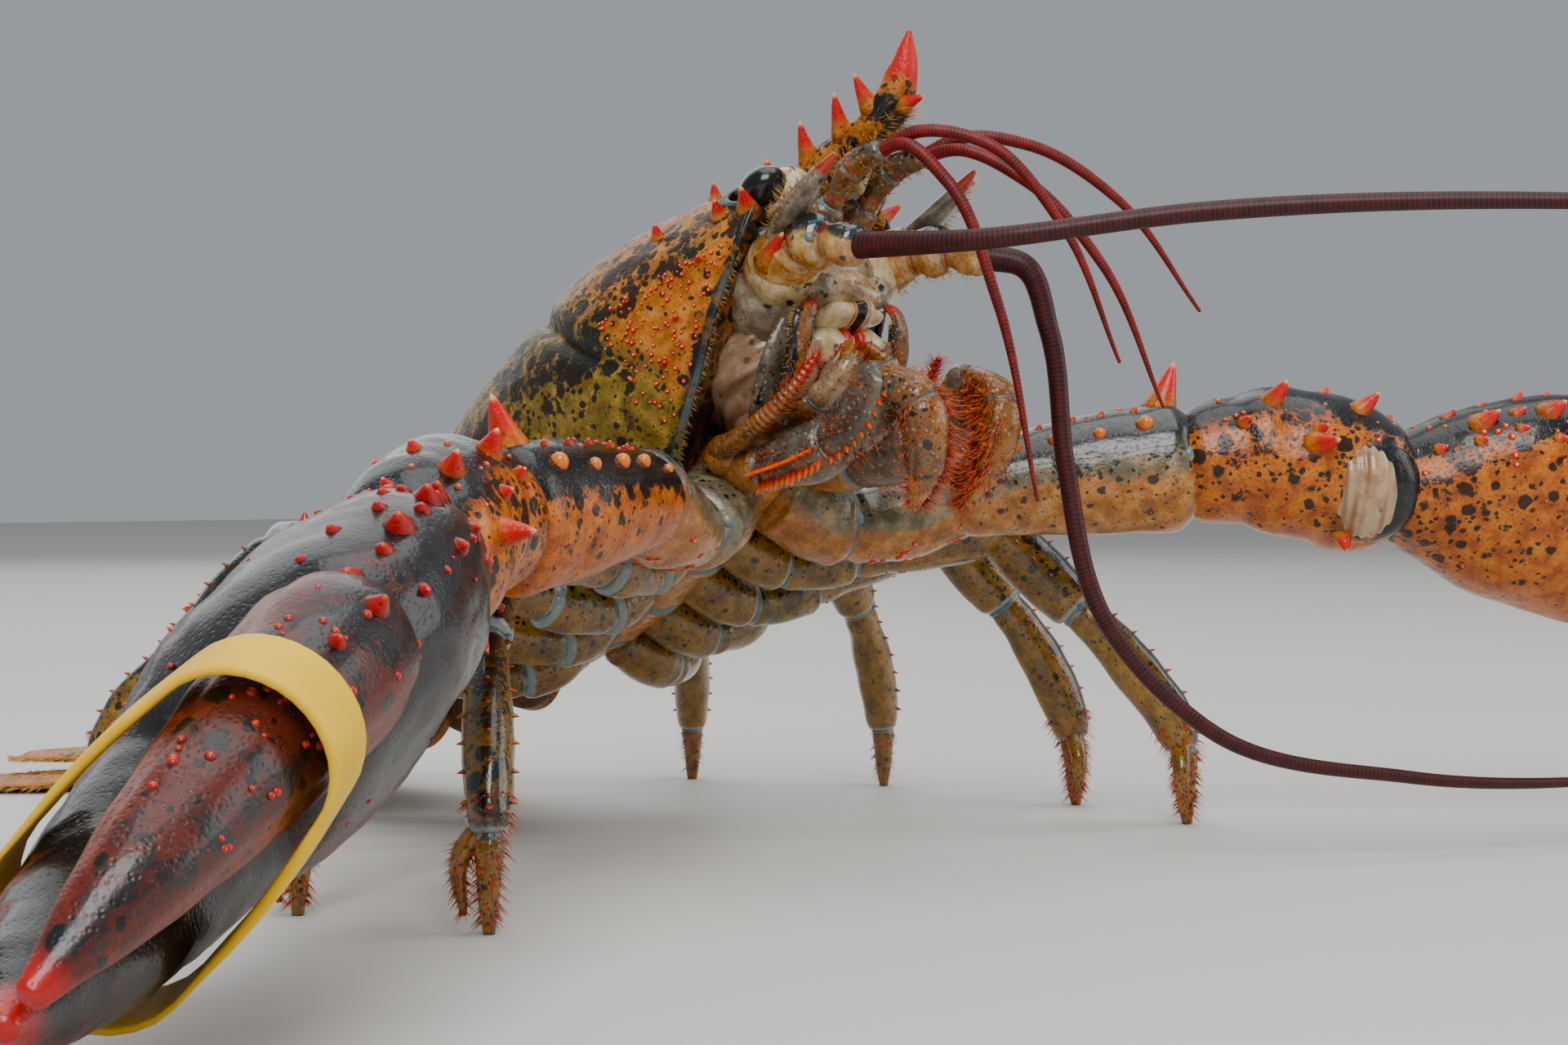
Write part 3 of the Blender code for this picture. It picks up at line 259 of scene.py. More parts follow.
def scatter(name, kind, places, skin, bend=None):  # rows of (root, direction, length mm, radius mm)
    heights, ring, faces = patterns[kind]
    roots = np.array([p[0] for p in places])
    ways = unit([p[1] for p in places])
    lengths = np.array([p[2] for p in places])[:, None, None] * mm
    radii = np.array([p[3] for p in places])[:, None, None] * mm
    side = unit(np.cross(ways, [0.31, 0.83, 0.46]))
    top = np.cross(ways, side)
    girth = girths[kind](heights)
    h = heights[None, :, None]
    points = roots[:, None] + ways[:, None] * (h * lengths - (h < 0.01) * radii * 0.5)
    points = points + (side[:, None] * ring[None, :, :1] + top[:, None] * ring[None, :, 1:]) * (
        radii * girth[None, :, None]
    )
    if bend is not None:
        bends = np.broadcast_to(np.asarray(bend, float), ways.shape)
        points = points + bends[:, None] * h**2 * lengths
    count = len(heights)
    mesh = bpy.data.meshes.new(name)
    allFaces = [tuple(i + n * count for i in face) for n in range(len(places)) for face in faces]
    mesh.from_pydata(points.reshape(-1, 3).tolist(), [], allFaces)
    piece = bpy.data.objects.new(name, mesh)
    bpy.context.scene.collection.objects.link(piece)
    tips = np.tile(heights, len(places))
    setMarks(mesh, {**plainMarks, "dark": 0.2, "spot": 0, "warm": 0.8, "tip": tips})
    mesh.uv_layers.new(name="UVMap")
    mesh.materials.append(skins[skin])
    closeMesh(piece)
    return piece


def finished(name, pieces, slot, *nodes):  # the pieces made one, in place of the nodes
    onlySelect(pieces[0])
    for piece in pieces:
        piece.select_set(True)
    if len(pieces) > 1:
        bpy.ops.object.join()
    piece = pieces[0]
    piece.name = piece.data.name = name
    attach(piece, "root")
    if nodes:
        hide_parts(*nodes)
    return piece


def sideName(mirror):  # mirror is 1 on the animal's left and -1 on its right
    return "left" if mirror > 0 else "right"


def bodyRoute(mirror, points):  # points of (outward, forward, height) on one side of the body
    return [fromBody(mirror * x, f, h) for x, f, h in points]


paint = {"depth": 0.86, "richness": 1.18}  # every colour is laid on deeper and richer than written


def linear(text):  # a colour as a screen shows it, such as "c8783c"
    parts = [int(text[i:i + 2], 16) / 255 for i in (0, 2, 4)]
    parts = [p / 12.92 if p < 0.04045 else ((p + 0.055) / 1.055) ** 2.4 for p in parts]
    grey = sum(parts) / 3
    return tuple(max(0.002, (grey + (p - grey) * paint["richness"]) * paint["depth"]) for p in parts) + (1.0,)


class Value:  # a socket that can be used in sums
    def __init__(self, graph, socket):
        self.graph, self.socket = graph, socket

    def sum(self, operation, first, second):
        return self.graph.node("ShaderNodeMath", {"operation": operation}, {0: first, 1: second})

    def __add__(self, other):
        return self.sum("ADD", self, other)

    def __sub__(self, other):
        return self.sum("SUBTRACT", self, other)

    def __mul__(self, other):
        return self.sum("MULTIPLY", self, other)

    def __rsub__(self, other):
        return self.sum("SUBTRACT", other, self)

    __radd__ = __add__
    __rmul__ = __mul__

    def most(self, other):
        return self.sum("MAXIMUM", self, other)

    def step(self, low, high):  # rises smoothly from 0 at low to 1 at high
        settings = {"interpolation_type": "SMOOTHSTEP"}
        return self.graph.node("ShaderNodeMapRange", settings, {0: self, 1: low, 2: high})


class Graph:  # one material and its nodes
    def __init__(self, name):
        self.material = bpy.data.materials.new(name)
        self.material.use_nodes = True
        self.tree = self.material.node_tree
        self.shader = self.tree.nodes["Principled BSDF"]

    def node(self, kind, settings, sockets, output=0):
        item = self.tree.nodes.new(kind)
        for word, value in settings.items():
            setattr(item, word, value)
        for key, value in sockets.items():
            self.feed(item.inputs[key], value)
        return Value(self, item.outputs[output])

    def feed(self, socket, value):  # with another node's value, a number, or a colour such as "c8783c"
        if isinstance(value, Value):
            self.tree.links.new(value.socket, socket)
        else:
            socket.default_value = linear(value) if isinstance(value, str) else value

    def mark(self, word):
        return self.node("ShaderNodeAttribute", {"attribute_name": word}, {}, "Fac")

    def millimetres(self):
        coordinates = self.node("ShaderNodeTexCoord", {}, {}, "Object")
        return self.node("ShaderNodeVectorMath", {"operation": "SCALE"}, {0: coordinates, 3: 1000.0})

    def noise(self, where, scale, detail=3.0, rough=0.5):
        return self.node("ShaderNodeTexNoise", {}, {
            "Vector": where, "Scale": scale, "Detail": detail, "Roughness": rough})

    def cells(self, where, scale, output="Distance"):
        return self.node("ShaderNodeTexVoronoi", {}, {"Vector": where, "Scale": scale}, output)

    def blend(self, factor, first, second, how="MIX"):
        settings = {"data_type": "RGBA", "blend_type": how}
        return self.node("ShaderNodeMix", settings, {0: factor, 6: first, 7: second}, 2)

    def bent(self, where, scale, reach):  # places pushed about, for uneven outlines
        push = self.node("ShaderNodeTexNoise", {}, {"Vector": where, "Scale": scale, "Detail": 2.0}, "Color")
        return self.node("ShaderNodeVectorMath", {"operation": "MULTIPLY_ADD"}, {
            0: push, 1: (reach, reach, reach), 2: where})

    def spots(self, where, scale, amount):  # spots of mixed sizes
        luck = self.node("ShaderNodeSeparateColor", {}, {0: self.cells(where, scale, "Color")})
        radius = (luck * 0.36 + 0.05) * amount
        return self.node("ShaderNodeMapRange", {"interpolation_type": "SMOOTHSTEP"}, {
            0: self.cells(where, scale), 1: radius + 0.045, 2: radius - 0.045})

    def finish(self, colour, roughness, height=None, bump=0.3, coat=0.4, distance=0.3, specular=0.4):
        inputs = {"Specular IOR Level": specular, "Base Color": colour, "Roughness": roughness,
                  "Coat Weight": coat, "Coat Roughness": 0.07}
        if height is not None:
            inputs["Normal"] = self.node("ShaderNodeBump", {}, {
                "Strength": bump, "Distance": distance * mm, "Height": height})
        for word, value in inputs.items():
            self.feed(self.shader.inputs[word], value)
        return self.material


def shellSkin(name, look):
    g = Graph(name)
    at = g.millimetres()
    dark, spot, warm, tip, rim = (g.mark(w) for w in ("dark", "spot", "warm", "tip", "rim"))
    cloud = g.noise(at, 0.055, 2.0)
    mottle = g.noise(at, 0.3, 5.0, 0.66)
    grain = g.noise(at, 1.5, 3.0)
    pits = g.cells(at, 1.25)
    bent = g.bent(at, 0.6, 1.3)
    colour = g.blend((cloud + (warm - 0.5) * 0.7).step(0.36, 0.62), look["cool"], look["base"])
    colour = g.blend(mottle.step(0.46, 0.72) * 0.5, colour, look["light"])
    colour = g.blend(mottle.step(0.56, 0.32) * 0.6, colour, look["deep"])
    big = g.spots(bent, look["bigSpots"], spot * 1.15 + dark * 1.5)
    small = g.spots(bent, look["smallSpots"], spot * 1.05 + dark * 1.2 + 0.08)
    tiny = g.spots(at, look["smallSpots"] * 2.1, spot * 0.8 + dark * 0.8 + 0.12)
    patch = (g.noise(at, 0.17, 5.0, 0.7) + (spot + dark * 0.7) * 0.2 - 0.21).step(0.54, 0.6)
    marks = big.most(small).most(patch)
    colour = g.blend(tiny * 0.75, colour, look["deep"])
    colour = g.blend(marks * 0.94, colour, look["spot"])
    shade = (dark + (mottle - 0.5) * 1.0 + (cloud - 0.5) * 0.5 + big * 0.25).step(0.42, 0.72)
    backTone = g.blend(mottle.step(0.5, 0.75) * 0.6, look["back"], look["backLight"])
    backTone = g.blend(marks * 0.8, backTone, "0b0c0c")
    colour = g.blend(shade, colour, backTone)
    # painted shade: the bottoms of the pits, which the bump sinks, are darkened towards 181008
    colour = g.blend((pits.step(0.2, 0.42) * -1 + 1) * 0.2, colour, "181008")
    if "pearl" in look:
        pearls = g.cells(at, 0.85).step(0.3, 0.14)
        colour = g.blend(pearls * 0.6, colour, look["pearl"])
        mottle = mottle + pearls * 0.5
    colour = g.blend((rim + (grain - 0.5) * 0.5).step(0.3, 0.9), colour, look["rim"])
    colour = g.blend(tip.step(0.1, 0.55), colour, look["tip"])
    colour = g.blend(tip.step(0.82, 1.0), colour, look["point"])
    rough = look["rough"] + (grain - 0.5) * 0.12 + (mottle - 0.5) * 0.2 - shade * 0.05
    height = grain * 0.35 + pits.step(0.0, 0.5) * 0.5 + mottle * 0.8
    coat = shade * 0.2 + look.get("coat", 0.3)
    return g.finish(colour, rough, height, look.get("bump", 0.45), coat, specular=look.get("specular", 0.4))


def plainSkin(name, look):
    g = Graph(name)
    at = g.millimetres()
    tip, rim = g.mark("tip"), g.mark("rim")
    mottle = g.noise(at, look.get("scale", 0.4), 4.0, 0.6)
    grain = g.noise(at, 2.2, 3.0)
    colour = g.blend(mottle.step(0.4, 0.65), look["base"], look["second"])
    if "fleck" in look:
        fleck = g.spots(g.bent(at, 0.8, 1.6), look.get("fleckScale", 0.4), look.get("fleckAmount", 0.9))
        colour = g.blend(fleck * 0.9, colour, look["fleck"])
    if "tip" in look:
        colour = g.blend(tip.step(0.15, 0.6), colour, look["tip"])
    if "rim" in look:
        colour = g.blend(rim.step(0.3, 0.8), colour, look["rim"])
    rough = look["rough"] + (mottle - 0.5) * 0.16
    return g.finish(colour, rough, grain * 0.5 + mottle, look.get("bump", 0.3), look.get("coat", 0.3))


def whipSkin(name, look):
    g = Graph(name)
    at = g.millimetres()
    along = g.node("ShaderNodeSeparateXYZ", {}, {0: g.node("ShaderNodeUVMap", {"uv_map": "UVMap"}, {})}, 1)
    wave = g.node("ShaderNodeMath", {"operation": "SINE"}, {0: along * (2 * pi * look["rings"])})
    mottle = g.noise(at, 0.5, 3.0)
    colour = g.blend(mottle.step(0.35, 0.65), look["base"], look["second"])
    colour = g.blend(wave.step(0.1, 0.95) * 0.55, colour, look["ring"])
    return g.finish(colour, 0.44 + mottle * 0.1, wave * 0.25, 0.3, 0.05, 0.12, 0.3)


print("materials")
shellTones = ("base", "cool", "light", "deep", "spot", "back", "backLight", "rim", "tip", "point")
shellLooks = {  # tones in that order, then how close the spots are and the finish
    "carapace": ("b87234 7a6828 d49c62 5c3414 0b0c09 14191a 3c3a1a 4a5a5c c42c08 e8b48a", {
        "bigSpots": 0.3, "smallSpots": 0.62, "rough": 0.42, "coat": 0.02, "bump": 0.6, "specular": 0.3}),
    "claw": ("b66418 80561c d49448 643010 0c0a08 151a1c 453818 4c5f68 cc380a eec090", {
        "bigSpots": 0.3, "smallSpots": 0.75, "rough": 0.3, "coat": 0.1, "specular": 0.32}),
    "crusher": ("6e2a12 3a2620 8c4a2a 24100c 0d0908 131518 33241e 5f717c a81e0a c8603c", {
        "bigSpots": 0.22, "smallSpots": 0.5, "rough": 0.36, "coat": 0.08}),
    "leg": ("83601f 555020 b08640 30260f 0f0d08 1b2019 4c471d 8c9c9c b83a14 c88a5c", {
        "bigSpots": 0.42, "smallSpots": 0.95, "rough": 0.24, "coat": 0.5}),
    "under": ("b0702e 6f6b58 d4b284 54402a 14120e 23302c 5c5634 5a6f74 c2401a f0cfa8", {
        "bigSpots": 0.36, "smallSpots": 0.8, "rough": 0.26, "coat": 0.3}),
    "mouth": ("8f5a26 5b5347 8e7a5e 35261a 15110d 1c2526 4a4030 3f5a66 b83210 e08448", {
        "bigSpots": 0.5, "smallSpots": 1.0, "rough": 0.26, "coat": 0.3, "pearl": "b7a084"}),
    "face": ("b0926e 857c6c dccaac 523f2e 0d0d0c 1a2020 4c4434 55666c a83a12 e8c49a", {
        "bigSpots": 0.15, "smallSpots": 0.4, "rough": 0.2, "coat": 0.5, "bump": 0.25}),
    "bulb": ("c08c4c d2be92 e6d6b4 74441e 181410 1a2224 4a4a2c 4a6470 8c1e0c d85a24", {
        "bigSpots": 0.2, "smallSpots": 0.5, "rough": 0.18, "coat": 0.5, "bump": 0.2}),
}
skins = {}
for word, (tones, look) in shellLooks.items():
    skins[word] = shellSkin(word + "Skin", {**dict(zip(shellTones, tones.split())), **look})
skins.update({
    "window": plainSkin("windowSkin", {
        "base": "b8a282", "second": "a08062", "fleck": "6e5440", "fleckAmount": 0.5, "rim": "84543a",
        "rough": 0.2, "coat": 0.4}),
    "knob": plainSkin("knobSkin", {
        "base": "c2501a", "second": "cc6a2c", "tip": "d87c34", "rough": 0.24, "coat": 0.5}),
    "flesh": plainSkin("fleshSkin", {
        "base": "8a6c54", "second": "a88e74", "fleck": "4e3a2a", "fleckAmount": 0.6, "rim": "b09c84",
        "tip": "a8481c", "rough": 0.3, "coat": 0.3, "scale": 0.22}),
    "joint": plainSkin("jointSkin", {
        "base": "56707a", "second": "8e8a76", "fleck": "2c383c", "rough": 0.34, "coat": 0.3}),
    "cream": plainSkin("creamSkin", {
        "base": "e2d2ae", "second": "c9a878", "fleck": "5a4630", "fleckAmount": 0.5, "tip": "20140e",
        "rim": "a8521c", "rough": 0.24, "coat": 0.4}),
    "tooth": plainSkin("toothSkin", {
        "base": "b82a08", "second": "c44612", "tip": "dc6c38", "rough": 0.26, "coat": 0.3}),
    "bristle": plainSkin("bristleSkin", {
        "base": "a42e0e", "second": "6c1c0a", "tip": "d0602a", "rough": 0.4, "coat": 0.1}),
    "golden": plainSkin("goldenHairSkin", {
        "base": "b07a2c", "second": "80561c", "tip": "dcb070", "rough": 0.42, "coat": 0.1}),
    "antenna": whipSkin("antennaSkin", {
        "base": "380c0e", "second": "1e0a0b", "ring": "5e1814", "rings": 300}),
    "antennule": whipSkin("antennuleSkin", {
        "base": "6c1411", "second": "440d0c", "ring": "982a1c", "rings": 110}),
    "eye": plainSkin("eyeSkin", {
        "base": "050506", "second": "0b0a0a", "rough": 0.22, "coat": 0.25, "bump": 0.0}),
    "band": plainSkin("bandRubber", {
        "base": "f4c800", "second": "eabc00", "rough": 0.55, "coat": 0.0, "scale": 0.12, "bump": 0.1}),
})


carapace = {
    "girth": [
        (-2, 20.5, 19.5, 16.5), (18, 25.2, 24.3, 21.0), (45, 27.0, 27.0, 22.5),
        (70, 26.0, 25.5, 21.8), (88, 21.8, 20.0, 17.5), (106, 16.5, 12.5, 11.0),
    ],  # forward, half width, dorsal height, ventral depth
    "rear": [(0, 2.5), (0.3, 0), (0.6, -1), (0.82, 5), (1, 6)],
    "front": [
        (0, 101), (0.12, 101), (0.22, 97.5), (0.30, 99.5), (0.36, 103.5),
        (0.44, 102), (0.52, 98), (0.60, 92), (0.70, 82.5), (0.82, 66), (1, 62),
    ],  # share of the way round from back to belly, distance forward
    "side": 0.5, "margin": 0.82, "marginWidth": 0.70,  # shares at the widest line and at the lower edge
    "rimRadii": [0.4, 0.6, 0.75, 0.8, 0.75, 0.65, 0.5],  # the bead round the edge, from the front to the rear
    "cheekBeads": 230, "marginHairs": 900,
}


def carapaceSection(share):  # width and height of the outline, 0 at the back and 1 at the belly
    p = carapace
    turn = share / p["side"] * pi / 2
    down = (share - p["side"]) / (p["margin"] - p["side"])
    inward = (share - p["margin"]) / (1 - p["margin"])
    wide = np.where(share <= p["side"], np.sin(turn), np.where(
        share <= p["margin"], 1 - (1 - p["marginWidth"]) * down**2, p["marginWidth"] * (1 - inward)))
    high = np.where(share <= p["side"], np.cos(turn), np.where(
        share <= p["margin"], -down, -1 + 0.3 * np.sin(np.clip(inward, 0, 1) * pi / 2)))
    return wide, high


def neckLine(share):  # how far forward the neck groove lies
    return 47 + 22 * np.maximum(share - 0.12, 0) / 0.4


def carapaceEnds(share):  # how far forward the rear and the front edge lie
    return (valuesAlong(carapace[edge], share)[..., 0] for edge in ("rear", "front"))


def carapacePoint(share, t, lift=0.0):  # x, forward, height in body millimetres
    share = np.asarray(share, float)
    rear, front = carapaceEnds(share)
    forward = rear + (front - rear) * t
    wide, tall, deep = np.moveaxis(valuesAlong(carapace["girth"], forward), -1, 0)
    side, height = carapaceSection(share)
    fade = np.clip(1 - np.maximum(share - 0.55, 0) / 0.12, 0, 1)
    away = forward - neckLine(share)
    depth = fade * (1.6 * hump(away, 0, 2.6) + 0.45 * hump(away, 0, 0.8))
    depth = depth + 0.3 * hump(share * 100, 0, 0.5) - lift
    shrink = 1 - depth / wide
    return side * wide * shrink, forward, height * np.where(height > 0, tall, deep) * shrink


def carapaceShape(u, v):
    turn = 2 * u - 1
    share, sign = np.abs(turn), np.where(turn < 0, -1.0, 1.0)
    t = np.clip((v - 0.03) / 0.92, 0, 1)
    rear, front = carapaceEnds(share)
    ahead = (front - rear) * (1 - t)
    behind = (front - rear) * t
    outer = smoothStep(share, 0.97, 0.86)
    lift = 0.5 * hump(ahead, 0.8, 1.1) * outer + 0.45 * hump(behind, 1.4, 1.6) * outer
    lift = lift - 0.35 * hump(behind, 4.6, 1.2) * outer
    x, forward, height = carapacePoint(share, t, lift)
    x = x * sign
    close = np.clip((0.03 - v) / 0.03, 0, 1) ** 1.5
    x, height, forward = x * (1 - close), height * (1 - close) + 2 * close, forward * (1 - close) + 3 * close
    enter = np.clip((v - 0.95) / 0.05, 0, 1) ** 1.5
    x, height, forward = x * (1 - enter), height * (1 - enter), forward * (1 - enter) + 88 * enter
    points = fromBody(x, forward, height)
    bumpy = 0.16 * ripple(points, 9, 3) + 0.1 * ripple(points, 4, 4)
    points = points + unit(points - fromBody(0, forward, 0)) * (bumpy * outer)[:, None] * mm
    inside = np.maximum(close, enter)
    belly = smoothStep(share, 0.83, 0.9)
    cheek = smoothStep(forward, 66, 77) * smoothStep(share, 0.4, 0.5)
    dark = 0.92 * smoothStep(share, 0.26, 0.1) + 0.55 * hump(behind, 0, 2.0)
    dark = dark + 0.66 * hump(ahead, 0, 2.0 + 5.0 * smoothStep(share, 0.45, 0.8))
    dark = dark + 0.5 * smoothStep(share, 0.75, 0.81) + 0.1 * hump(share, 0.36, 0.08) * (1 - cheek)
    dark = dark + 0.4 * hump(forward - neckLine(share), -2, 4) * hump(share, 0.5, 0.12)
    spot = (0.86 + 0.42 * hump(share, 0.4, 0.14)) * (1 - 0.46 * cheek)
    warm = 0.5 + 0.45 * cheek - 0.5 * hump(forward - neckLine(share), -4, 12)
    warm = warm + 0.15 * smoothStep(share, 0.3, 0.2)
    dark = (dark * (1 - belly) + 0.25 * belly) * (1 - inside)
    return points, {"dark": dark, "spot": spot, "warm": warm, "tip": 0, "rim": inside}


def makeCarapace():
    pieces = [shapedGrid("shell", 190, 200, carapaceShape, "carapace")]
    shares = np.concatenate([np.linspace(0.2, 0.82, 40), np.full(40, 0.82)])
    places = np.concatenate([np.ones(40), np.linspace(0.985, 0.04, 40)])
    x, f, h = carapacePoint(shares, places)
    radii = carapace["rimRadii"]
    for mirror in (1, -1):
        rim = Limb(fromBody(mirror * x, f, h), [
            (t, r, r) for t, r in zip(np.linspace(0, 1, len(radii)), radii)], [0.13, 0.21, 1])
        pieces.append(limbPiece(
            "rim", rim, "carapace", rows=240, cols=12, bulges=(0.9, 0.9), capShare=0.04,
            marks=lambda t, local, angle, out, point: {
                "dark": 0.6, "spot": 0.3, "rim": 0.55 + 0.3 * ripple(point, 7, 8)}))
    return pieces


rostrum = {
    "base": 97, "tip": 136,
    "girth": [(0, 8, 5), (0.3, 5.6, 3.4), (0.65, 4.0, 3.0), (0.85, 2.6, 2.4), (1, 0.5, 0.5)],
    "spines": [(0.12, 4.6), (0.31, 6.0), (0.49, 6.6), (0.67, 5.6)], "hairs": 360,
}


def makeRostrum():
    p = rostrum
    base, tip = p["base"], p["tip"]
    beak = Limb([fromBody(0, f, h) for f, h in (
        (base, 9), (base + 12, 9.5), (base + 28, 9), (tip - 5, 12), (tip, 16.5))], p["girth"], bodyUp)

    def relief(t, angle, point):
        ridge = 0.9 * hump(np.sin(angle), 1, 0.12) * smoothStep(t, 0.95, 0.3)
        gutter = -0.7 * hump(np.abs(np.cos(angle)), 0.55, 0.2) * (np.sin(angle) > 0) * smoothStep(t, 0.9, 0.2)
        return ridge + gutter + 0.15 * ripple(point, 4, 11)

    def marks(t, local, angle, out, point):
        top = np.sin(angle)
        collar = 0.75 * hump(t, 0.72, 0.07) * smoothStep(top, 0.6, -0.3)
        return {
            "dark": 0.8 * smoothStep(top, 0.8, 1.0) * smoothStep(t, 0.7, 0.5) + collar,
            "spot": 0.95, "warm": 0.6, "tip": smoothStep(t + 0.04 * ripple(point, 4, 12), 0.76, 0.9) * 0.72}

    pieces = [limbPiece("beak", beak, "carapace", rows=90, cols=48, relief=relief, marks=marks)]
    rows = []
    for t, length in p["spines"]:
        for degrees in (38, 142):
            rows.append((*beak.atDegrees(t, degrees, -0.4, 0.55), length, 1.75))
    rows.append((*beak.leaning(0.74, -pi / 2, -0.4, 0.7), 4, 1.5))
    upward = bodyAhead * 0.18 + bodyUp * 0.05
    pieces.append(scatter("beakSpines", "spine", rows, "carapace", bend=upward))
    hairs = []
    for _ in range(p["hairs"]):
        t, degrees = random.uniform(0.2, 0.72), random.uniform(200, 340)
        root, way = beak.atDegrees(t, degrees, -0.2, random.uniform(0.3, 1.2))
        hairs.append((root, way + random.normal(size=3) * 0.15, random.uniform(1.8, 4.0), 0.07))
    fringe = scatter("beakHair", "hair", hairs, "golden", bend=-bodyUp * 0.2)
    return pieces, fringe


def carapaceSpot(share, forward, mirror):
    rear, front = carapaceEnds(share)
    x, f, h = carapacePoint(share, (forward - rear) / (front - rear))
    out = unit(np.array([x, 0, h]))
    way = mirror * out[0] * bodyLeft + out[2] * bodyUp
    return fromBody(mirror * x, f, h), way


def makeCarapaceSpines():
    rows = []
    table = [
        (0.16, 93, 3.2, 1.2), (0.27, 84, 3.0, 1.2), (0.33, 97, 4.0, 1.4), (0.37, 102.5, 5.5, 1.7),
        (0.46, 92, 2.2, 0.9), (0.56, 84, 1.8, 0.8), (0.63, 78, 1.8, 0.8),
    ]
    for share, forward, length, radius in table:
        for mirror in (1, -1):
            root, way = carapaceSpot(share, forward, mirror)
            rows.append((root - way * 0.3 * mm, way + bodyAhead * 0.9, length, radius))
    small = []
    for _ in range(carapace["cheekBeads"]):  # the little tubercles of the cheek
        share, forward = random.uniform(0.42, 0.74), random.uniform(70, 98)
        if forward > valuesAlong(carapace["front"], share)[0] - 3:
            continue
        for mirror in (1, -1):
            root, way = carapaceSpot(share, forward, mirror)
            size = random.uniform(0.3, 0.62)
            small.append((root - way * 0.15 * mm, way + bodyAhead * 0.5, size * 1.3, size * 0.8))
    return [
        scatter("cheekSpines", "spine", rows, "carapace"),
        scatter("cheekBeads", "bead", small, "carapace"),
    ]


def makeMarginHair():  # the short hair along the lower edge
    hairs = []
    for _ in range(carapace["marginHairs"]):
        mirror = 1 if random.random() < 0.5 else -1
        if random.random() < 0.35:
            share, t = random.uniform(0.5, 0.82), 0.995
        else:
            share, t = 0.82, random.uniform(0.03, 0.99)
        x, f, h = carapacePoint(share, t)
        root = fromBody(mirror * x, f, h)
        way = -bodyUp * 0.9 + bodyAhead * random.uniform(-0.2, 0.6) - mirror * bodyLeft * 0.35
        hairs.append((root, way + random.normal(size=3) * 0.15, random.uniform(1.2, 2.4), 0.06))
    return scatter("marginHair", "hair", hairs, "golden")


print("carapace")
beakPieces, beakHair = makeRostrum()
finished("carapaceShell", makeCarapace() + beakPieces + makeCarapaceSpines(), "body_shell", "carapace")
finished("carapaceHair", [beakHair, makeMarginHair()], "underside")


def segmentProfile(local):  # narrow where it enters the joint, flared at its far rim
    return 1 + 0.05 * hump(local, 0.96, 0.05) - 0.14 * hump(local, 0, 0.07) + 0.03 * hump(local, 0.12, 0.05)


def segment(name, limb, start, end, skin, look=None, **more):
    p = {"dark": 0.8, "low": 0.1, "high": 0.8, "spot": 0.5, "warm": 0.5, "fall": 0.25, "rim": 0.45, "band": 0,
         "uneven": 0.12}
    p.update(look or {})
    more.setdefault("profile", segmentProfile)
    more.setdefault("relief", lambda t, angle, point: p["uneven"] * ripple(point, 6, 21))

    def marks(t, local, angle, out, point):
        top = np.sin(angle)
        rim = hump(local, 1, 0.02) + 0.5 * hump(local, 0, 0.02)
        return {
            "dark": p["dark"] * smoothStep(top, p["low"], p["high"]),
            "spot": p["spot"] * (0.6 + 0.4 * hump(top, 0.1, 0.6)),
            "warm": p["warm"] + p["fall"] * smoothStep(top, 0.3, -0.6), "rim": rim * p["rim"],
            "tip": p["band"] * hump(local, 0.24, 0.12)}

    return limbPiece(name, limb, skin, start, end, marks=marks, **more)


def membrane(limb, t, width, share=0.88):
    width = width * 0.7
    return limbPiece("membrane", limb, "joint", t - width, t + width, rows=14, cols=28,
                     bulges=(0.1, 0.1), capShare=0.2, profile=lambda local: share + 0.05 * np.sin(local * 9))


def condyles(limb, t, size):  # the pale knobs that a joint turns on
    found = []
    for angle in (0.25, pi - 0.25):
        spot, _ = limb.surface(t, angle, -0.55 * size)
        found.append(lump("condyle", spot, (size, size * 0.8, size), "joint", cols=14, rows=10))
    return found


def spinesOn(limb, rows, skin="claw", lean=0.4):  # rows of (t, degrees, length, radius)
    places = [(*limb.atDegrees(t, degrees, -0.35 * radius, lean), length, radius)
              for t, degrees, length, radius in rows]
    return scatter("limbSpines", "spine", places, skin)


def beadsOn(limb, count, span, degrees, size, skin="claw"):
    places = []
    for _ in range(count):
        place = limb.atDegrees(random.uniform(*span), random.uniform(*degrees), -0.1)
        big = size * random.uniform(0.5, 1.2)
        places.append((*place, big * 0.8, big))
    return scatter("limbBeads", "bead", places, skin)


arms = {
    "root": [(6, 62.5, -23.5), (18.5, 63.5, -31), (29, 68, -32.5), (38, 73, -31)],
    "routes": {
        -1: {
            "merus": [(-35, -78.5, 61), (-56, -86, 60), (-78, -91, 58)],
            "carpus": [(-74, -90.5, 58.5), (-91, -96, 57.5), (-106, -106, 51)],
        },
        1: {
            "merus": [(35, -78.5, 61), (51, -94.5, 64.5), (66, -110, 66.5)],
            "carpus": [(63, -107.5, 66), (78, -121, 67.5), (92.5, -134.5, 62)],
        },
    },
    "window": (0.84, -12, -4.5),  # its place along and round the left carpus, and how deep it sits
    "rootGirth": [(0, 8, 6.6), (0.35, 8.6, 7.2), (0.42, 7.6, 6.6), (0.7, 8.6, 7.6), (1, 8.8, 8.2)],
    "merusGirth": [(0, 7.6, 7.2), (0.3, 8.4, 9.0), (0.75, 9.0, 11.0), (0.95, 8.8, 10.6), (1, 7.6, 9)],
    "carpusGirth": [(0, 7.4, 7.8), (0.25, 10.4, 11.5), (0.6, 12.2, 13.2), (0.92, 11.6, 11.8), (1, 10, 10)],
}


def windowStripes(way, point):
    across, up = way[:, 0], way[:, 1]
    stripes = 0.36 + 0.16 * np.sin(across * 9 + 1.3 * np.sin(up * 3)) + 0.1 * np.sin(across * 27 + up * 3)
    return {"rim": stripes + 0.3 * hump(across, 0.6, 0.22) + 0.2 * hump(up, 1, 0.4)}


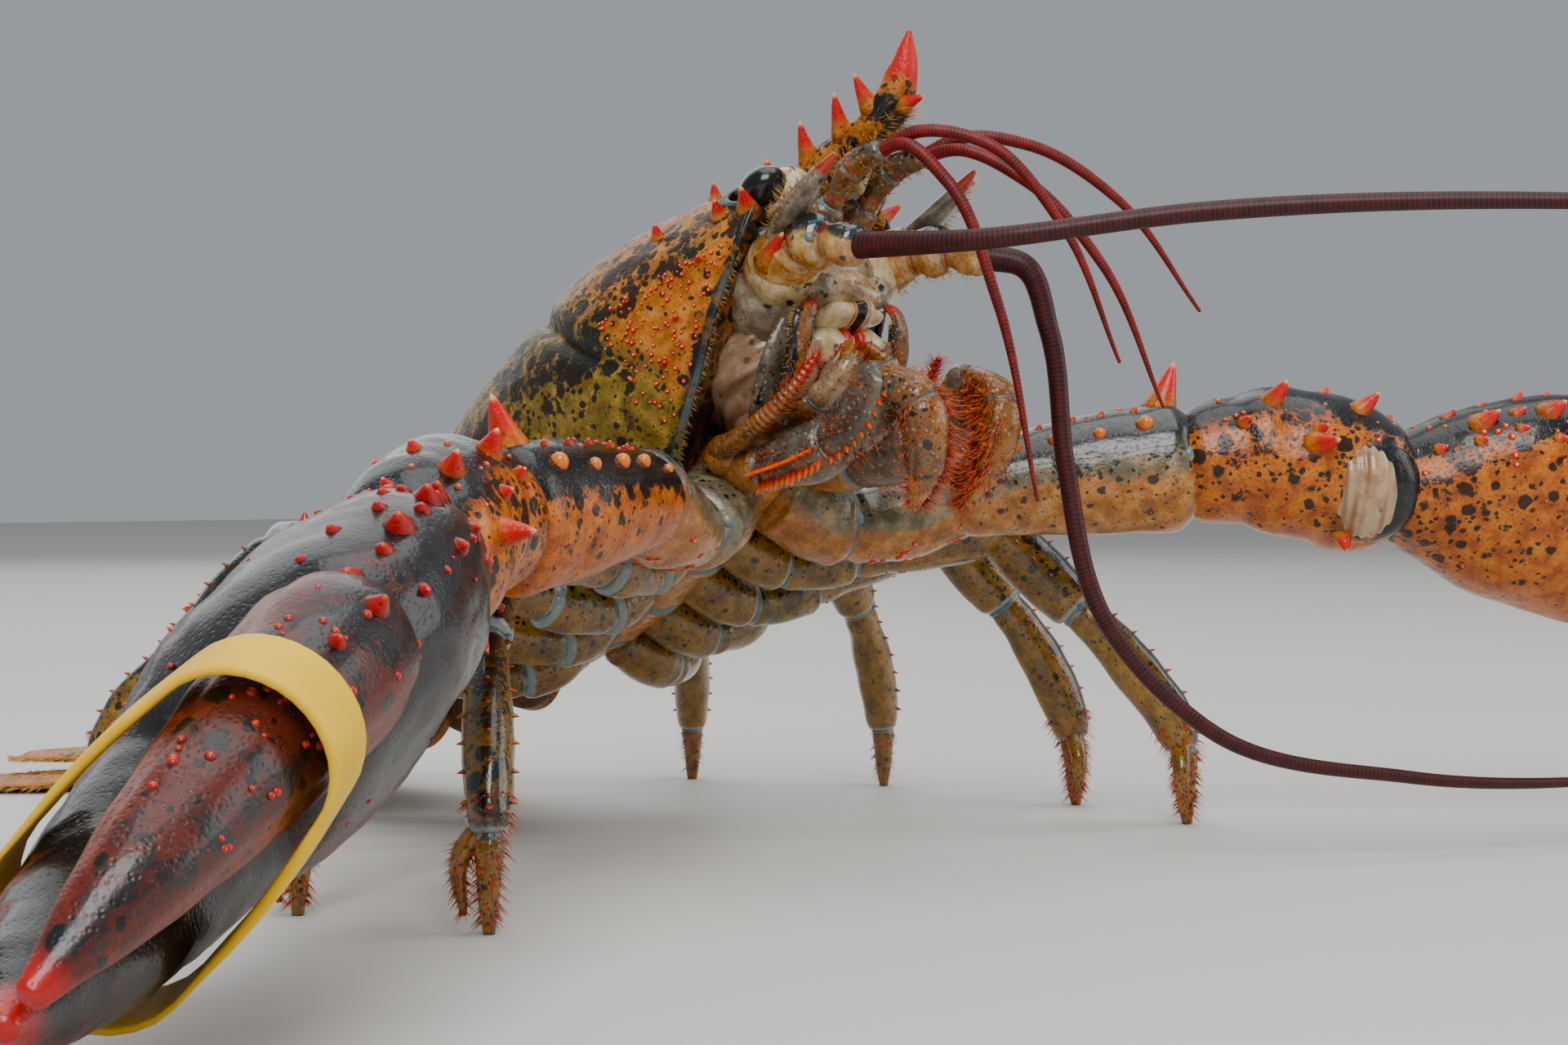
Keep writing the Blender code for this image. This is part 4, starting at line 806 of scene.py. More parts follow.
def wristWindow(place, out, along):  # the striped skin that shows where the claw joins the arm
    out = unit(out)
    along = unit(along - out * (along @ out))
    axes = (np.cross(out, along), along, out)
    return [
        lump("windowCollar", place - out * 1.1 * mm, (10.5, 9.8, 5.9), "claw", axes, 72, 40,
             marks=lambda way, point: {
                 "dark": 0.75 * smoothStep(-way[:, 0], 0.0, 0.35) + 0.5 * smoothStep(way[:, 1], 0.5, 0.8),
                 "spot": 1.0, "warm": 0.6, "rim": 0.35 * smoothStep(-way[:, 0], 0.1, 0.4)}),
        lump("window", place, (7.4, 8.8, 5.7), "window", axes, 110, 60,
             relief=lambda way: 0.012 * np.sin(way[:, 0] * 30), marks=windowStripes),
    ]


def makeArm(mirror):
    side, p = sideName(mirror), arms
    routes = p["routes"][mirror]
    leanIn = -1 if mirror > 0 else 1
    rootLimb = Limb(bodyRoute(mirror, p["root"]), p["rootGirth"], [0, 0, 1])
    pieces = [
        segment("coxa", rootLimb, 0, 0.37, "under", {
            "dark": 0.35, "low": 0.3, "warm": 0.2, "fall": 0.5, "spot": 0.25}),
        segment("ischium", rootLimb, 0.41, 1, "under", {
            "dark": 0.6, "low": 0.2, "warm": 0.1, "fall": 0.8, "spot": 0.3}),
        membrane(rootLimb, 0.39, 0.04), membrane(rootLimb, 0.98, 0.03, 0.9),
        *condyles(rootLimb, 0.39, 1.5), *condyles(rootLimb, 0.97, 1.7),
        beadsOn(rootLimb, 26, (0.45, 0.95), (200, 330), 0.7),
    ]
    finished(f"armRoot_{side}", pieces, "claw_shell", f"arm_{side}_root")
    merus = Limb([fromFloor(*q) for q in routes["merus"]], p["merusGirth"], [0, 0, 1])
    inward = 180 if mirror > 0 else 0
    rows = [(0.9, 90, 9.0, 2.9), (0.9, inward, 3.5, 1.5)]
    rows += [(t, 90 + 18 * leanIn, 1.2, 0.8) for t in (0.3, 0.42, 0.55, 0.66, 0.79)]
    knobs = []
    for t, size, shift in (
            (0.14, 0.9, 4), (0.31, 1.2, -3), (0.47, 1.3, 0), (0.64, 1.1, 3), (0.82, 1.5, -2)):
        knobs.append((*merus.atDegrees(t, 90 + (46 + shift) * leanIn, -0.3, 0.3), size * 1.25, size))
    look = {"low": -0.05, "high": 0.6, "spot": 0.8}
    if mirror > 0:
        skin, look = "under", {**look, "warm": 0.0, "fall": 1.0, "dark": 0.7}
    else:
        skin, look = "claw", {**look, "warm": 0.65, "dark": 0.95}
    pieces = [
        segment("merus", merus, 0, 1, skin, look, rows=64, cols=56, bulges=(0.3, 0.3)),
        spinesOn(merus, rows), membrane(merus, 0.98, 0.05, 0.93), *condyles(merus, 0.985, 2.1),
        beadsOn(merus, 24, (0.1, 0.9), (60, 120), 0.5), scatter("knobs", "bead", knobs, "knob"),
    ]
    finished(f"armMerus_{side}", pieces, "claw_shell", f"arm_{side}_merus")
    carpus = Limb([fromFloor(*q) for q in routes["carpus"]], p["carpusGirth"], [0, 0, 1])
    way = -leanIn
    rows = [
        (0.42, 90 - 35 * way, 5.5, 2.1), (0.74, 90 - 25 * way, 5.0, 2.0),
        (0.58 if mirror > 0 else 0.78, 90 - 75 * way, 6.5, 2.3),
        (0.82, -55 * way + (0 if way > 0 else 180), 4.0, 1.8), (0.58, 90 - 62 * way, 2.6, 1.3),
        (0.3, 90 - 55 * way, 2.2, 1.1), (0.62, 90 + 5 * way, 2.0, 1.2), (0.9, 90 + 10 * way, 2.2, 1.2),
    ]
    pieces = [
        segment("carpus", carpus, 0, 1, "claw", {
            "dark": 0.85, "low": 0.3, "high": 0.9, "spot": 1.05, "warm": 0.75}, rows=64, cols=60,
            bulges=(0.3, 0.25), relief=lambda t, angle, point: (
                0.4 * ripple(point, 11, 31) + 0.12 * ripple(point, 4, 32) - 0.5 * hump(t, 0.3, 0.05))),
        spinesOn(carpus, rows), membrane(carpus, 0.98, 0.06, 0.95), *condyles(carpus, 0.99, 2.4),
        beadsOn(carpus, 30, (0.2, 0.95), (20, 160), 0.5),
    ]
    if mirror > 0:
        pieces += wristWindow(*carpus.atDegrees(*p["window"]), np.array([0.1, 0.1, 1.0]))
    finished(f"armCarpus_{side}", pieces, "claw_shell", f"arm_{side}_carpus")


claws = {
    "crusher": {
        "wrist": (-105, -105, 51.5), "towards": (-0.80, -0.50, -0.33), "edge": (0.40, -0.52, 0.72),
        "length": 118, "skin": "crusher", "beads": (30, (0.03, 0.2), (20, 160), 0.9),
        "teeth": {"kind": "bead", "palm": (2.6, 1.25, 1.0), "finger": (2.4, 1.2, 1.0)},
        "palm": [
            (-3, 0, 7.5, 7.5), (5, 0.5, 13, 11), (20, 1, 21.5, 14.5), (36, 0.5, 25.5, 16),
            (50, -2.5, 23.5, 15.5), (60, -8.5, 14.5, 13), (76, -10, 11.5, 11), (92, -8.5, 9, 8.5),
            (106, -4.5, 5.5, 5.5), (116, 0, 1.6, 1.8)],
        "finger": [
            (46, 13, 7, 8), (56, 16.5, 10.3, 10), (70, 17, 9.8, 9.6), (86, 15.0, 8.2, 8),
            (102, 10.8, 5.6, 5.6), (116, 5.0, 1.5, 1.7)],
    },
    "cutter": {
        "wrist": (91.5, -133.5, 62.5), "towards": (0.77, -0.62, -0.12), "edge": (-0.25, -0.3, 0.9),
        "length": 122, "skin": "claw", "beads": (70, (0.03, 0.62), (20, 160), 0.6),
        "teeth": {"kind": "spine", "palm": (2.2, 1.5, 0.75), "finger": (2.0, 1.5, 0.75)},
        "palm": [
            (-3, 0, 7, 7), (5, 0.5, 11.5, 10), (20, 1, 18.5, 12.5), (36, 0.5, 21, 13),
            (49, -2.5, 19, 12.5), (58, -7.5, 11.5, 10.5), (76, -8.5, 8.8, 8.5), (94, -7, 6.8, 6.6),
            (108, -3.8, 4.2, 4.4), (118, 0, 1.3, 1.4)],
        "finger": [
            (45, 10.5, 6, 6.5), (55, 12.8, 8.0, 8.2), (70, 12.6, 7.3, 7.4), (88, 10.6, 6.0, 6.0),
            (104, 7.2, 4.2, 4.2), (117, 3.6, 1.3, 1.4)],
    },
}


class Claw:
    def __init__(self, look):
        self.wrist = fromFloor(*look["wrist"])
        self.ahead = unit(look["towards"])
        edge = np.array(look["edge"], float)
        self.edge = unit(edge - self.ahead * (edge @ self.ahead))
        self.face = np.cross(self.ahead, self.edge)
        self.stretch = look["length"] / 118.0

    def point(self, a, b, c=0.0):
        a, b, c = (np.asarray(v, float)[..., None] for v in (a, b, c))
        return self.wrist + (self.ahead * a * self.stretch + self.edge * b + self.face * c) * mm

    def limb(self, table):  # rows of distance, middle, half height, half thickness
        limb = Limb([self.point(a, b) for a, b, _, _ in table], [], self.edge)
        limb.girth = [(s, thick, high) for s, (_, _, high, thick) in zip(limb.route[:, 0], table)]
        return limb


toothRows = {  # mains are the places of the big teeth
    "palm": {"edge": 1, "mains": (0.62, 0.7, 0.79, 0.88), "span": (0.585, 0.96), "gap": 0.018, "largest": 1.2},
    "finger": {"edge": -1, "mains": (0.36, 0.5, 0.64, 0.78), "span": (0.24, 0.95), "gap": 0.03, "largest": 1.1},
}


def toothRow(limb, part, look):  # a few big teeth with small ones between them
    row, (big, length, radius) = toothRows[part], look[part]
    angle = row["edge"] * pi / 2
    teeth = []
    for i, t in enumerate(row["mains"]):
        size = big * (1 - 0.35 * i / 4) * (1.15 if i % 2 else 0.9)
        teeth.append((*limb.surface(t, angle, -0.6), size * length, size * radius))
    for t in np.linspace(*row["span"], 22):
        if min(abs(t - main) for main in row["mains"]) > row["gap"]:
            place = limb.surface(t, angle + random.uniform(-0.12, 0.12), -0.3)
            size = random.uniform(0.7, row["largest"])
            teeth.append((*place, size * 1.4, size))
    return scatter(part + "Teeth", look["kind"], teeth, "tooth")


def makeClaw(mirror, kind):
    side, look = sideName(mirror), claws[kind]
    crusher = kind == "crusher"
    claw = Claw(look)
    palm, finger = claw.limb(look["palm"]), claw.limb(look["finger"])
    skin = look["skin"]
    flip = 1 if palm.frame(0.5)[1] @ claw.face > 0 else -1  # on which side of the palm its outer face lies

    def palmMarks(t, local, angle, out, point):
        top = np.sin(angle)
        if crusher:
            dark = 0.75 * smoothStep(top, -0.5, 0.6) + 0.25 * ripple(point, 16, 51)
            warm = 0.5 + 0.3 * smoothStep(top, 0, -0.8)
        else:
            dark = 0.9 * smoothStep(top, 0.62, 0.97) + 0.12 * smoothStep(t, 0.55, 0.8)
            warm = 0.85 - 0.2 * smoothStep(top, 0, 0.9)
        spot = 0.45 + 0.25 * hump(top, 0.3, 0.5) + 0.4 * smoothStep(t, 0.32, 0.06)
        return {"dark": dark, "spot": spot, "warm": warm, "rim": 0.9 * hump(local, 0, 0.03),
                "tip": 0.5 * smoothStep(t, 0.93, 1.0)}

    def fingerMarks(t, local, angle, out, point):
        top = np.sin(angle)
        dark = (0.6 if crusher else 0.85) * smoothStep(top, -0.1 if crusher else 0.3, 0.9)
        red = 0.42 * hump(top, -0.55, 0.3) * smoothStep(t, 0.1, 0.3) if crusher else 0
        return {"dark": dark - red, "spot": 0.2 if crusher else 0.45, "warm": 0.75,
                "rim": 0.9 * hump(local, 0, 0.05), "tip": 0.5 * smoothStep(t, 0.92, 1.0) + red}

    def relief(t, angle, point):
        return 0.5 * ripple(point, 15, 52) + 0.16 * ripple(point, 5, 53)

    def fingerRelief(t, angle, point):
        groove = -0.5 * hump(np.sin(angle), 0.35, 0.14) * smoothStep(t, 0.05, 0.2) * smoothStep(t, 0.9, 0.6)
        return 0.2 * ripple(point, 8, 54) + groove

    rowsPalm = []
    edgeRows = ((100, 4), (74, 4)) if flip > 0 else ((80, 4), (106, 4))
    for degrees, count in edgeRows:
        for i in range(count):
            t = 0.1 + 0.085 * i + (0.035 if degrees % 4 else 0)
            size = 1.0 if degrees in (74, 106) else 0.55
            rowsPalm.append((t, degrees, size * (4.4 - 0.3 * i), size * 2.1))
            rowsPalm.append((t + 0.042, degrees + 2, size * (2.2 - 0.2 * i), size * 1.3))
    for i in range(7):
        rowsPalm.append((0.08 + 0.05 * i, 90 - 34 * flip + random.uniform(-5, 5), 1.6, 1.1))
    pieces = [
        limbPiece("palm", palm, skin, rows=120, cols=84, bulges=(0.2, 0.8), relief=relief,
                  marks=palmMarks, capShare=0.06),
        spinesOn(palm, rowsPalm, skin, lean=0.5),
        beadsOn(palm, *look["beads"], skin),
        beadsOn(palm, 28, (0.02, 0.5), (-40, 220), 0.4, skin),
    ]
    pieces.append(toothRow(palm, "palm", look["teeth"]))
    pieces.append(membrane(palm, 0.03, 0.045, 0.92))
    finished(f"clawPalm_{side}", pieces, "claw_shell", f"claw_{side}_palm")
    fingerTeeth = toothRow(finger, "finger", look["teeth"])
    pieces = [
        limbPiece("finger", finger, skin, rows=80, cols=56, bulges=(0.2, 0.8), relief=fingerRelief,
                  marks=fingerMarks, capShare=0.07),
        fingerTeeth,
        spinesOn(finger, [(0.2, 90, 3.4, 1.7), (0.32, 86, 2.2, 1.3), (0.43, 92, 1.6, 1.1)], skin, lean=0.5),
        beadsOn(finger, 40, (0.1, 0.7), (40, 140), 0.55, skin),
        *condyles(finger, 0.06, 2.2),
    ]
    finished(f"clawFinger_{side}", pieces, "claw_shell", f"claw_{side}_finger")
    return claw, palm, finger


band = {"station": 80, "width": 9, "thickness": 1.5, "clearance": 0.9, "corners": 72}


def bandOutline(flat, count):  # the stretched outline round some flat points
    middle = flat.mean(axis=0)
    spread = flat - middle
    turns = 2 * pi * np.arange(count) / count
    rays = np.stack([np.cos(turns), np.sin(turns)], -1)
    facets = pi * np.arange(144) / 72
    normals = np.stack([np.cos(facets), np.sin(facets)], -1)
    reach = (spread @ normals.T).max(axis=0)
    facing = rays @ normals.T
    lengths = np.where(facing > 0.05, reach / np.maximum(facing, 0.05), 9e9).min(axis=1)
    return middle, middle + rays * lengths[:, None]


def makeBand(claw, palm, finger):
    p = band
    half = p["width"] / 2 / claw.stretch
    low, high = p["station"] - half, p["station"] + half
    flat = []
    t, turn = np.meshgrid(np.linspace(0.2, 1, 140), 2 * pi * np.arange(48) / 48)
    for limb in (palm, finger):
        point = (limb.surface(t, turn)[0] - claw.wrist).reshape(-1, 3)
        a = point @ claw.ahead / mm / claw.stretch
        near = point[(a > low - 1) & (a < high + 1)]
        flat.append(np.stack([near @ claw.edge, near @ claw.face], -1) / mm)
    middle, outline = bandOutline(np.concatenate(flat), p["corners"])

    def shape(u, v):
        ring = outline[np.round(u * p["corners"]).astype(int) % p["corners"]]
        out = unit(ring - middle)
        turn = 2 * pi * v + pi
        across = np.sign(np.cos(turn)) * np.abs(np.cos(turn)) ** 0.35
        thick = np.sign(np.sin(turn)) * np.abs(np.sin(turn)) ** 0.5
        a = p["station"] + across * half
        grow = p["clearance"] + p["thickness"] * (0.5 + 0.5 * thick)
        b, c = (ring + out * grow[:, None]).T
        return claw.point(a, b, c), {"tip": 0, "rim": 0}

    finished("clawBand", [shapedGrid("clawBand", 24, p["corners"], shape, "band")], "band", "claw_band")


legs = {
    "roots": [
        [(5, 49.5, -23.4), (17, 49.2, -30.1), (27, 52.5, -30.7)],
        [(5, 38.0, -23.4), (17.5, 37.0, -29.9), (29, 39.0, -28.9)],
        [(5, 27.0, -23.5), (17, 24.4, -28.3), (28, 24.0, -25.8)],
        [(5, 16.5, -23.7), (17, 12.6, -27.5), (26, 8.5, -23.3)],
    ],
    "feet": [
        [(62, -70, 56), (84, -97, 0)], [(68, -50, 56), (93, -64, 0)],
        [(67, -22, 53), (91, -15, 0)], [(54, 5, 46), (72, 23, 0)],
    ],
    "upper": [
        (0, 4.6, 4.6), (0.14, 5.2, 5.0), (0.22, 4.2, 4.2), (0.4, 4.7, 5.2), (0.44, 4.1, 4.8),
        (0.75, 4.6, 5.8), (0.96, 4.3, 5.3), (1, 3.5, 4.3)],
    "toeHairs": {  # span, count and longest, for the legs with pincers and for the others
        True: ((0.7, 0.985), 380, 2.6), False: ((0.8, 0.985), 120, 1.7)},
    "lower": [
        (0, 3.8, 4.3), (0.12, 4.3, 5.2), (0.27, 4.2, 4.9), (0.33, 3.4, 4.0), (0.55, 3.8, 4.5),
        (0.74, 3.2, 3.7), (0.8, 2.4, 2.6), (0.92, 1.5, 1.6), (1, 0.75, 0.8)],
}


def onFloor(piece):  # the toe's flat where it meets the floor
    flat = np.empty(len(piece.data.vertices) * 3, np.float32)
    piece.data.vertices.foreach_get("co", flat)
    flat[2::3] = np.maximum(flat[2::3], 0)
    piece.data.vertices.foreach_set("co", flat)
    piece.data.update()


def makeLeg(mirror, number):
    p, side = legs, sideName(mirror)
    root, coxa, ischium = (fromBody(mirror * x, f, h) / mm for x, f, h in p["roots"][number - 1])
    knee, foot = (fromFloor(mirror * x, y, z) / mm for x, y, z in p["feet"][number - 1])
    upper = Limb([mm * q for q in (root, coxa, ischium, (ischium * 2 + knee) / 3, knee)], p["upper"], [0, 0, 1])
    outward = unit([foot[0] - knee[0], foot[1] - knee[1], 0])
    lift = unit(knee - ischium)
    ankle = foot + np.array([0, 0, 16]) - outward * 1.5
    bend = knee + outward * 7 - np.array([0, 0, 9])
    lower = Limb([mm * q for q in (
        knee - lift * 1.5, bend, (bend + ankle) / 2 + outward * 2.5, ankle, foot - np.array([0, 0, 1.2]))],
        p["lower"], outward)
    look = {"dark": 0.65, "high": 0.9, "spot": 0.85, "rim": 0.75}
    pale = {**look, "dark": 0.5, "warm": 0.8, "spot": 0.7}
    pincer = {**pale, "warm": 1.0, "dark": 0.1}
    pieces = [
        segment("coxa", upper, 0, 0.198, "leg", pale, rows=26),
        segment("ischium", upper, 0.212, 0.422, "leg", look, rows=26),
        segment("merus", upper, 0.433, 1, "leg", look, rows=48, bulges=(0.3, 0.5)),
        membrane(upper, 0.205, 0.03), membrane(upper, 0.427, 0.03), *condyles(upper, 0.43, 1.1),
        membrane(upper, 0.985, 0.03, 0.92), *condyles(upper, 0.985, 1.1),
        spinesOn(upper, [(0.95, 92, 2.4, 1.1), (0.95, 40, 1.4, 0.8), (0.95, 140, 1.4, 0.8)]
                 + [(t, 88 + 9 * math.sin(t * 40), 1.2, 0.4) for t in np.linspace(0.48, 0.91, 9)], "leg"),
        beadsOn(upper, 26, (0.46, 0.93), (-110, -70), 0.34, "leg"),
    ]
    finished(f"legUpper_{side}_{number}", pieces, "leg_shell", f"leg_{side}_{number}_upper")
    pieces = [
        segment("carpus", lower, 0, 0.304, "leg", look, rows=34, bulges=(0.3, 0.3)),
        segment("propodus", lower, 0.317, 0.777, "leg", {**pale, "dark": 0.6}, rows=44, bulges=(0.3, 0.3)),
        segment("dactyl", lower, 0.79, 1, "leg", {**pincer, "rim": 0.3, "band": 0.22}, rows=30,
                bulges=(0.3, 0.3)),
        membrane(lower, 0.31, 0.03), membrane(lower, 0.783, 0.02), *condyles(lower, 0.315, 0.95),
        spinesOn(lower, [(0.27, 60, 1.6, 0.8), (0.27, 120, 1.6, 0.8), (0.74, 90, 1.2, 0.6)]
                 + [(t, degrees, 1.2, 0.38) for t in np.linspace(0.07, 0.72, 11)
                    for degrees in (15, 90, 165)], "leg"),
    ]
    hairs = []
    span, count, longest = p["toeHairs"][number <= 2]
    for _ in range(count):
        t, turn = random.uniform(*span), random.uniform(0, 2 * pi)
        root, way = lower.leaning(t, turn, -0.05, 0.9)
        if root[2] > 1.6 * mm:
            hairs.append((root, way, random.uniform(0.8, longest), 0.09))
    if number <= 2:
        hinge = lower.centre(0.76)
        across = unit(np.cross(lower.frame(0.8)[0], outward))
        thumb = Limb([
            hinge + across * 0.4 * mm, hinge + across * 4.0 * mm - np.array([0, 0, 5]) * mm,
            hinge + across * 3.6 * mm - np.array([0, 0, 13]) * mm],
            [(0, 1.8, 1.9), (0.5, 1.5, 1.6), (1, 0.5, 0.5)], outward)
        pieces.append(segment("thumb", thumb, 0, 1, "leg", {**pincer, "rim": 0}, rows=24, cols=18))
        for _ in range(150):
            place = thumb.leaning(random.uniform(0.25, 1), random.uniform(0, 2 * pi), -0.05, 0.9)
            hairs.append((*place, random.uniform(0.8, 2.2), 0.09))
    pieces.append(scatter("toeHair", "hair", hairs, "bristle"))
    onFloor(finished(f"legLower_{side}_{number}", pieces, "leg_shell", f"leg_{side}_{number}_lower"))


print("arms, claws and legs")
for mirror in (1, -1):
    makeArm(mirror)
    for number in (1, 2, 3, 4):
        makeLeg(mirror, number)
makeBand(*makeClaw(-1, "crusher"))
makeClaw(1, "cutter")


def hairsOn(limb, count, span, degrees, length, radius=0.06, lean=0.6, spread=0.15):
    places = []
    for _ in range(count):
        root, way = limb.atDegrees(random.uniform(*span), random.uniform(*degrees), -0.1, lean)
        way = way + random.normal(size=3) * spread
        places.append((root, way, length * random.uniform(0.6, 1.15), radius))
    return places


def makeEye(mirror):
    side = sideName(mirror)
    stalk = Limb(bodyRoute(mirror, [(3.8, 101, 5.6), (7.2, 105.2, 6.6), (10.2, 105.4, 7.6)]),
                 [(0, 3.8, 3.8), (0.5, 4.5, 4.1), (0.85, 4.8, 4.2), (1, 4.5, 3.8)], bodyUp)
    centre = fromBody(mirror * 12.0, 104.4, 8.4)
    ball = lump("ball", centre, (4.0, 4.5, 3.3), "eye", cols=56, rows=40,
                relief=lambda way: 0.02 * hump(way[:, 0] * mirror, 0.9, 0.5))
    finished(f"eyeBall_{side}", [ball], "eye", f"eye_{side}")

    def collarMarks(t, local, angle, out, point):
        return {"rim": 0.9 * hump(local, 1, 0.12), "dark": 0.5 * hump(local, 0.55, 0.1), "spot": 0.35}

    pieces = [
        limbPiece("stalk", stalk, "cream", 0, 0.99, rows=30, cols=40, bulges=(0.3, 0.2),
                  relief=lambda t, angle, point: 0.16 * ripple(point, 4, 61)),
        limbPiece("collar", stalk, "joint", 0.9, 1.03, rows=16, cols=44, bulges=(0.05, 0.15),
                  profile=lambda local: 1.0 + 0.04 * np.sin(local * 5), marks=collarMarks,
                  relief=lambda t, angle, point: 0.2 * np.sin(angle * 3 + 1)),
        scatter("orbitHair", "hair", hairsOn(stalk, 36, (0.0, 0.25), (180, 360), 2.6, 0.06, 0.9, 0.3),
                "golden"),
    ]
    finished(f"eyeStalk_{side}", pieces, "underside", f"eyestalk_{side}")


feelers = {
    "antennules": {
        -1: (
            [(0.5, -5, 1), (4, -11, -5), (8, -18, -24), (11, -24, -56)],
            [(2.5, -6, 3), (9, -15, 1), (17, -24, -12), (23, -31, -34)],
        ),
        1: (
            [(2, -6, 1), (8, -15, -4), (16, -25, -18), (23, -32, -41)],
            [(3.5, -5, 3), (12, -13, 2), (23, -23, -7), (33, -32, -25)],
        ),
    },
    "antennas": {
        -1: [(5, -18, 0), (27, -47, 4), (68, -96, 5), (108, -142, 0), (142, -182, -9)],
        1: [
            (4, -5.5, -1.5), (7, -8.5, -12), (9, -10.5, -34), (13, -15, -59),
            (27, -28, -79), (56, -47, -87), (94, -66, -89), (136, -84, -86)],
    },
    "girth": 2.3, "taper": [(0, 1), (0.04, 0.86), (0.3, 0.66), (0.7, 0.42)],
}


def makeAntennule(mirror):
    side = sideName(mirror)
    stem = Limb(bodyRoute(mirror, [
        (3.6, 102, 1.5), (4.2, 110, 2.0), (4.6, 117, 3.5), (5.2, 123.5, 1.5)]),
        [(0, 2.9, 2.9), (0.3, 2.9, 2.7), (0.36, 2.1, 2.0), (0.65, 2.6, 2.4), (1, 2.0, 1.9)], bodyUp)
    tip = fromBody(mirror * 5.2, 123, 1.5)
    look = {"dark": 0.6, "low": 0.0, "high": 0.9, "warm": 0.3, "rim": 0.5, "band": 0.3}
    pieces = [
        *(segment(name, stem, start, end, "mouth", look, rows=24) for name, start, end in (
            ("stemA", 0, 0.31), ("stemB", 0.35, 0.66), ("stemC", 0.69, 1))),
        membrane(stem, 0.33, 0.03), membrane(stem, 0.675, 0.03),
        scatter("stemHair", "hair", hairsOn(stem, 170, (0.05, 1), (0, 360), 2.2), "golden"),
    ]
    for offsets in feelers["antennules"][mirror]:
        start = tip - stem.frame(1.0)[0] * 1.5 * mm
        route = [start, *[tip + np.array(offset) * mm for offset in offsets]]
        whip = Limb(route, [(0, 1.15, 1.15), (0.6, 0.8, 0.8), (1, 0.3, 0.3)], [0.2, 0.1, 1])
        pieces.append(limbPiece("whip", whip, "antennule", rows=160, cols=10, capShare=0.01))
    finished(f"antennule_{side}_whips", pieces, "feeler", f"antennule_{side}")


def makeAntenna(mirror):
    side = sideName(mirror)
    stem = Limb(bodyRoute(mirror, [
        (10.5, 99, -3.5), (13.2, 106.5, -5.0), (14.8, 112.5, -9.0), (15.5, 117.5, -14.0)]),
        [(0, 6.2, 5.8), (0.33, 5.0, 4.8), (0.42, 4.0, 4.0), (0.62, 4.7, 4.5), (0.7, 3.4, 3.4),
         (0.92, 3.7, 3.6), (1, 3.2, 3.2)], bodyUp)
    look = {"low": -0.2, "high": 0.7, "spot": 0.35, "warm": 0.4, "band": 0.4}
    scaleRoot, scaleTip = fromBody(mirror * 15.0, 105, -2.0), fromBody(mirror * 17.0, 123.5, -0.5)
    scale = Limb([scaleRoot, (scaleRoot + scaleTip) / 2 + np.array([mirror, 0, 0]) * mm, scaleTip],
                 [(0, 2.6, 1.8), (0.5, 3.0, 1.4), (0.8, 1.5, 1.1), (1, 0.4, 0.4)], bodyUp)
    inward = (150, 210) if mirror > 0 else (-30, 30)
    horn = fromBody(mirror * 16.2, 102.5, -4.5)
    hornWay = fromBody(mirror * 0.4, 1, 0) - fromBody(0, 0, 0)
    pieces = [
        segment("bulb", stem, 0, 0.36, "bulb", {"dark": 0.4, "low": 0.5, "spot": 0.2}, cols=44),
        segment("joint4", stem, 0.4, 0.66, "bulb", look, cols=44),
        segment("joint5", stem, 0.7, 1, "bulb", {**look, "dark": 0.7, "warm": 0.6, "low": -0.1}, cols=40),
        membrane(stem, 0.38, 0.04), membrane(stem, 0.68, 0.03),
        *condyles(stem, 0.39, 1.2), *condyles(stem, 0.68, 1.0),
        limbPiece("scale", scale, "face", rows=44, cols=28, marks=lambda t, local, angle, out, point: {
            "dark": 0.3, "spot": 0.1, "warm": 0.1, "rim": 0.35, "tip": 0.75 * smoothStep(t, 0.72, 0.9)}),
        scatter("horn", "spine", [(horn - unit(hornWay) * 0.8 * mm, hornWay, 7.5, 2.0)], "carapace"),
        scatter("scaleHair", "hair", hairsOn(scale, 150, (0.1, 0.9), inward, 2.4), "golden"),
        scatter("stemHair", "hair", hairsOn(stem, 120, (0.05, 0.95), (180, 360), 1.6), "golden"),
    ]
    finished(f"antennaStem_{side}", pieces, "underside", f"antenna_{side}_stem")
    start = stem.centre(1.0) - stem.frame(1.0)[0] * 0.5 * mm
    route = [start, *[stem.centre(1.0) + np.array(offset) * mm for offset in feelers["antennas"][mirror]]]
    whip = Limb(route, [(t, feelers["girth"] * g, feelers["girth"] * g) for t, g in feelers["taper"]]
                + [(1, 0.35, 0.35)], [0.1, 0.2, 1])
    piece = limbPiece("whip", whip, "antenna", rows=500, cols=16, capShare=0.004)
    finished(f"antennaWhip_{side}", [piece], "feeler", f"antenna_{side}_whip")


def faceLump(name, x, forward, height, wide, long, tall, skin, uneven=0.05, look=None, **more):
    draw = np.random.default_rng(int(abs(x) * 7 + forward))
    waves = draw.normal(size=(5, 3)) * 4
    return lump(name, fromBody(x, forward, height), (wide, long, tall), skin,
                relief=lambda way: uneven * np.sin(way @ waves.T).mean(-1) * 1.5,
                marks=lambda way, point: look or {}, **more)


def facePlate(name, mirror, points, girth, skin, look):  # a thin part, flat side ahead
    words = {**plainMarks, "spot": 0.4, **look}
    limb = Limb(bodyRoute(mirror, points), girth, bodyAhead)

    def marks(t, local, angle, out, point):
        edge = np.abs(np.cos(angle))
        return {**words, "tip": words["tip"] * smoothStep(t, 0.3, 0.0),
                "dark": words["dark"] * smoothStep(edge, 0.2, 0.95)}

    return limb, limbPiece(name, limb, skin, rows=44, cols=30, marks=marks,
                           relief=lambda t, angle, point: 0.1 * ripple(point, 3, 7))


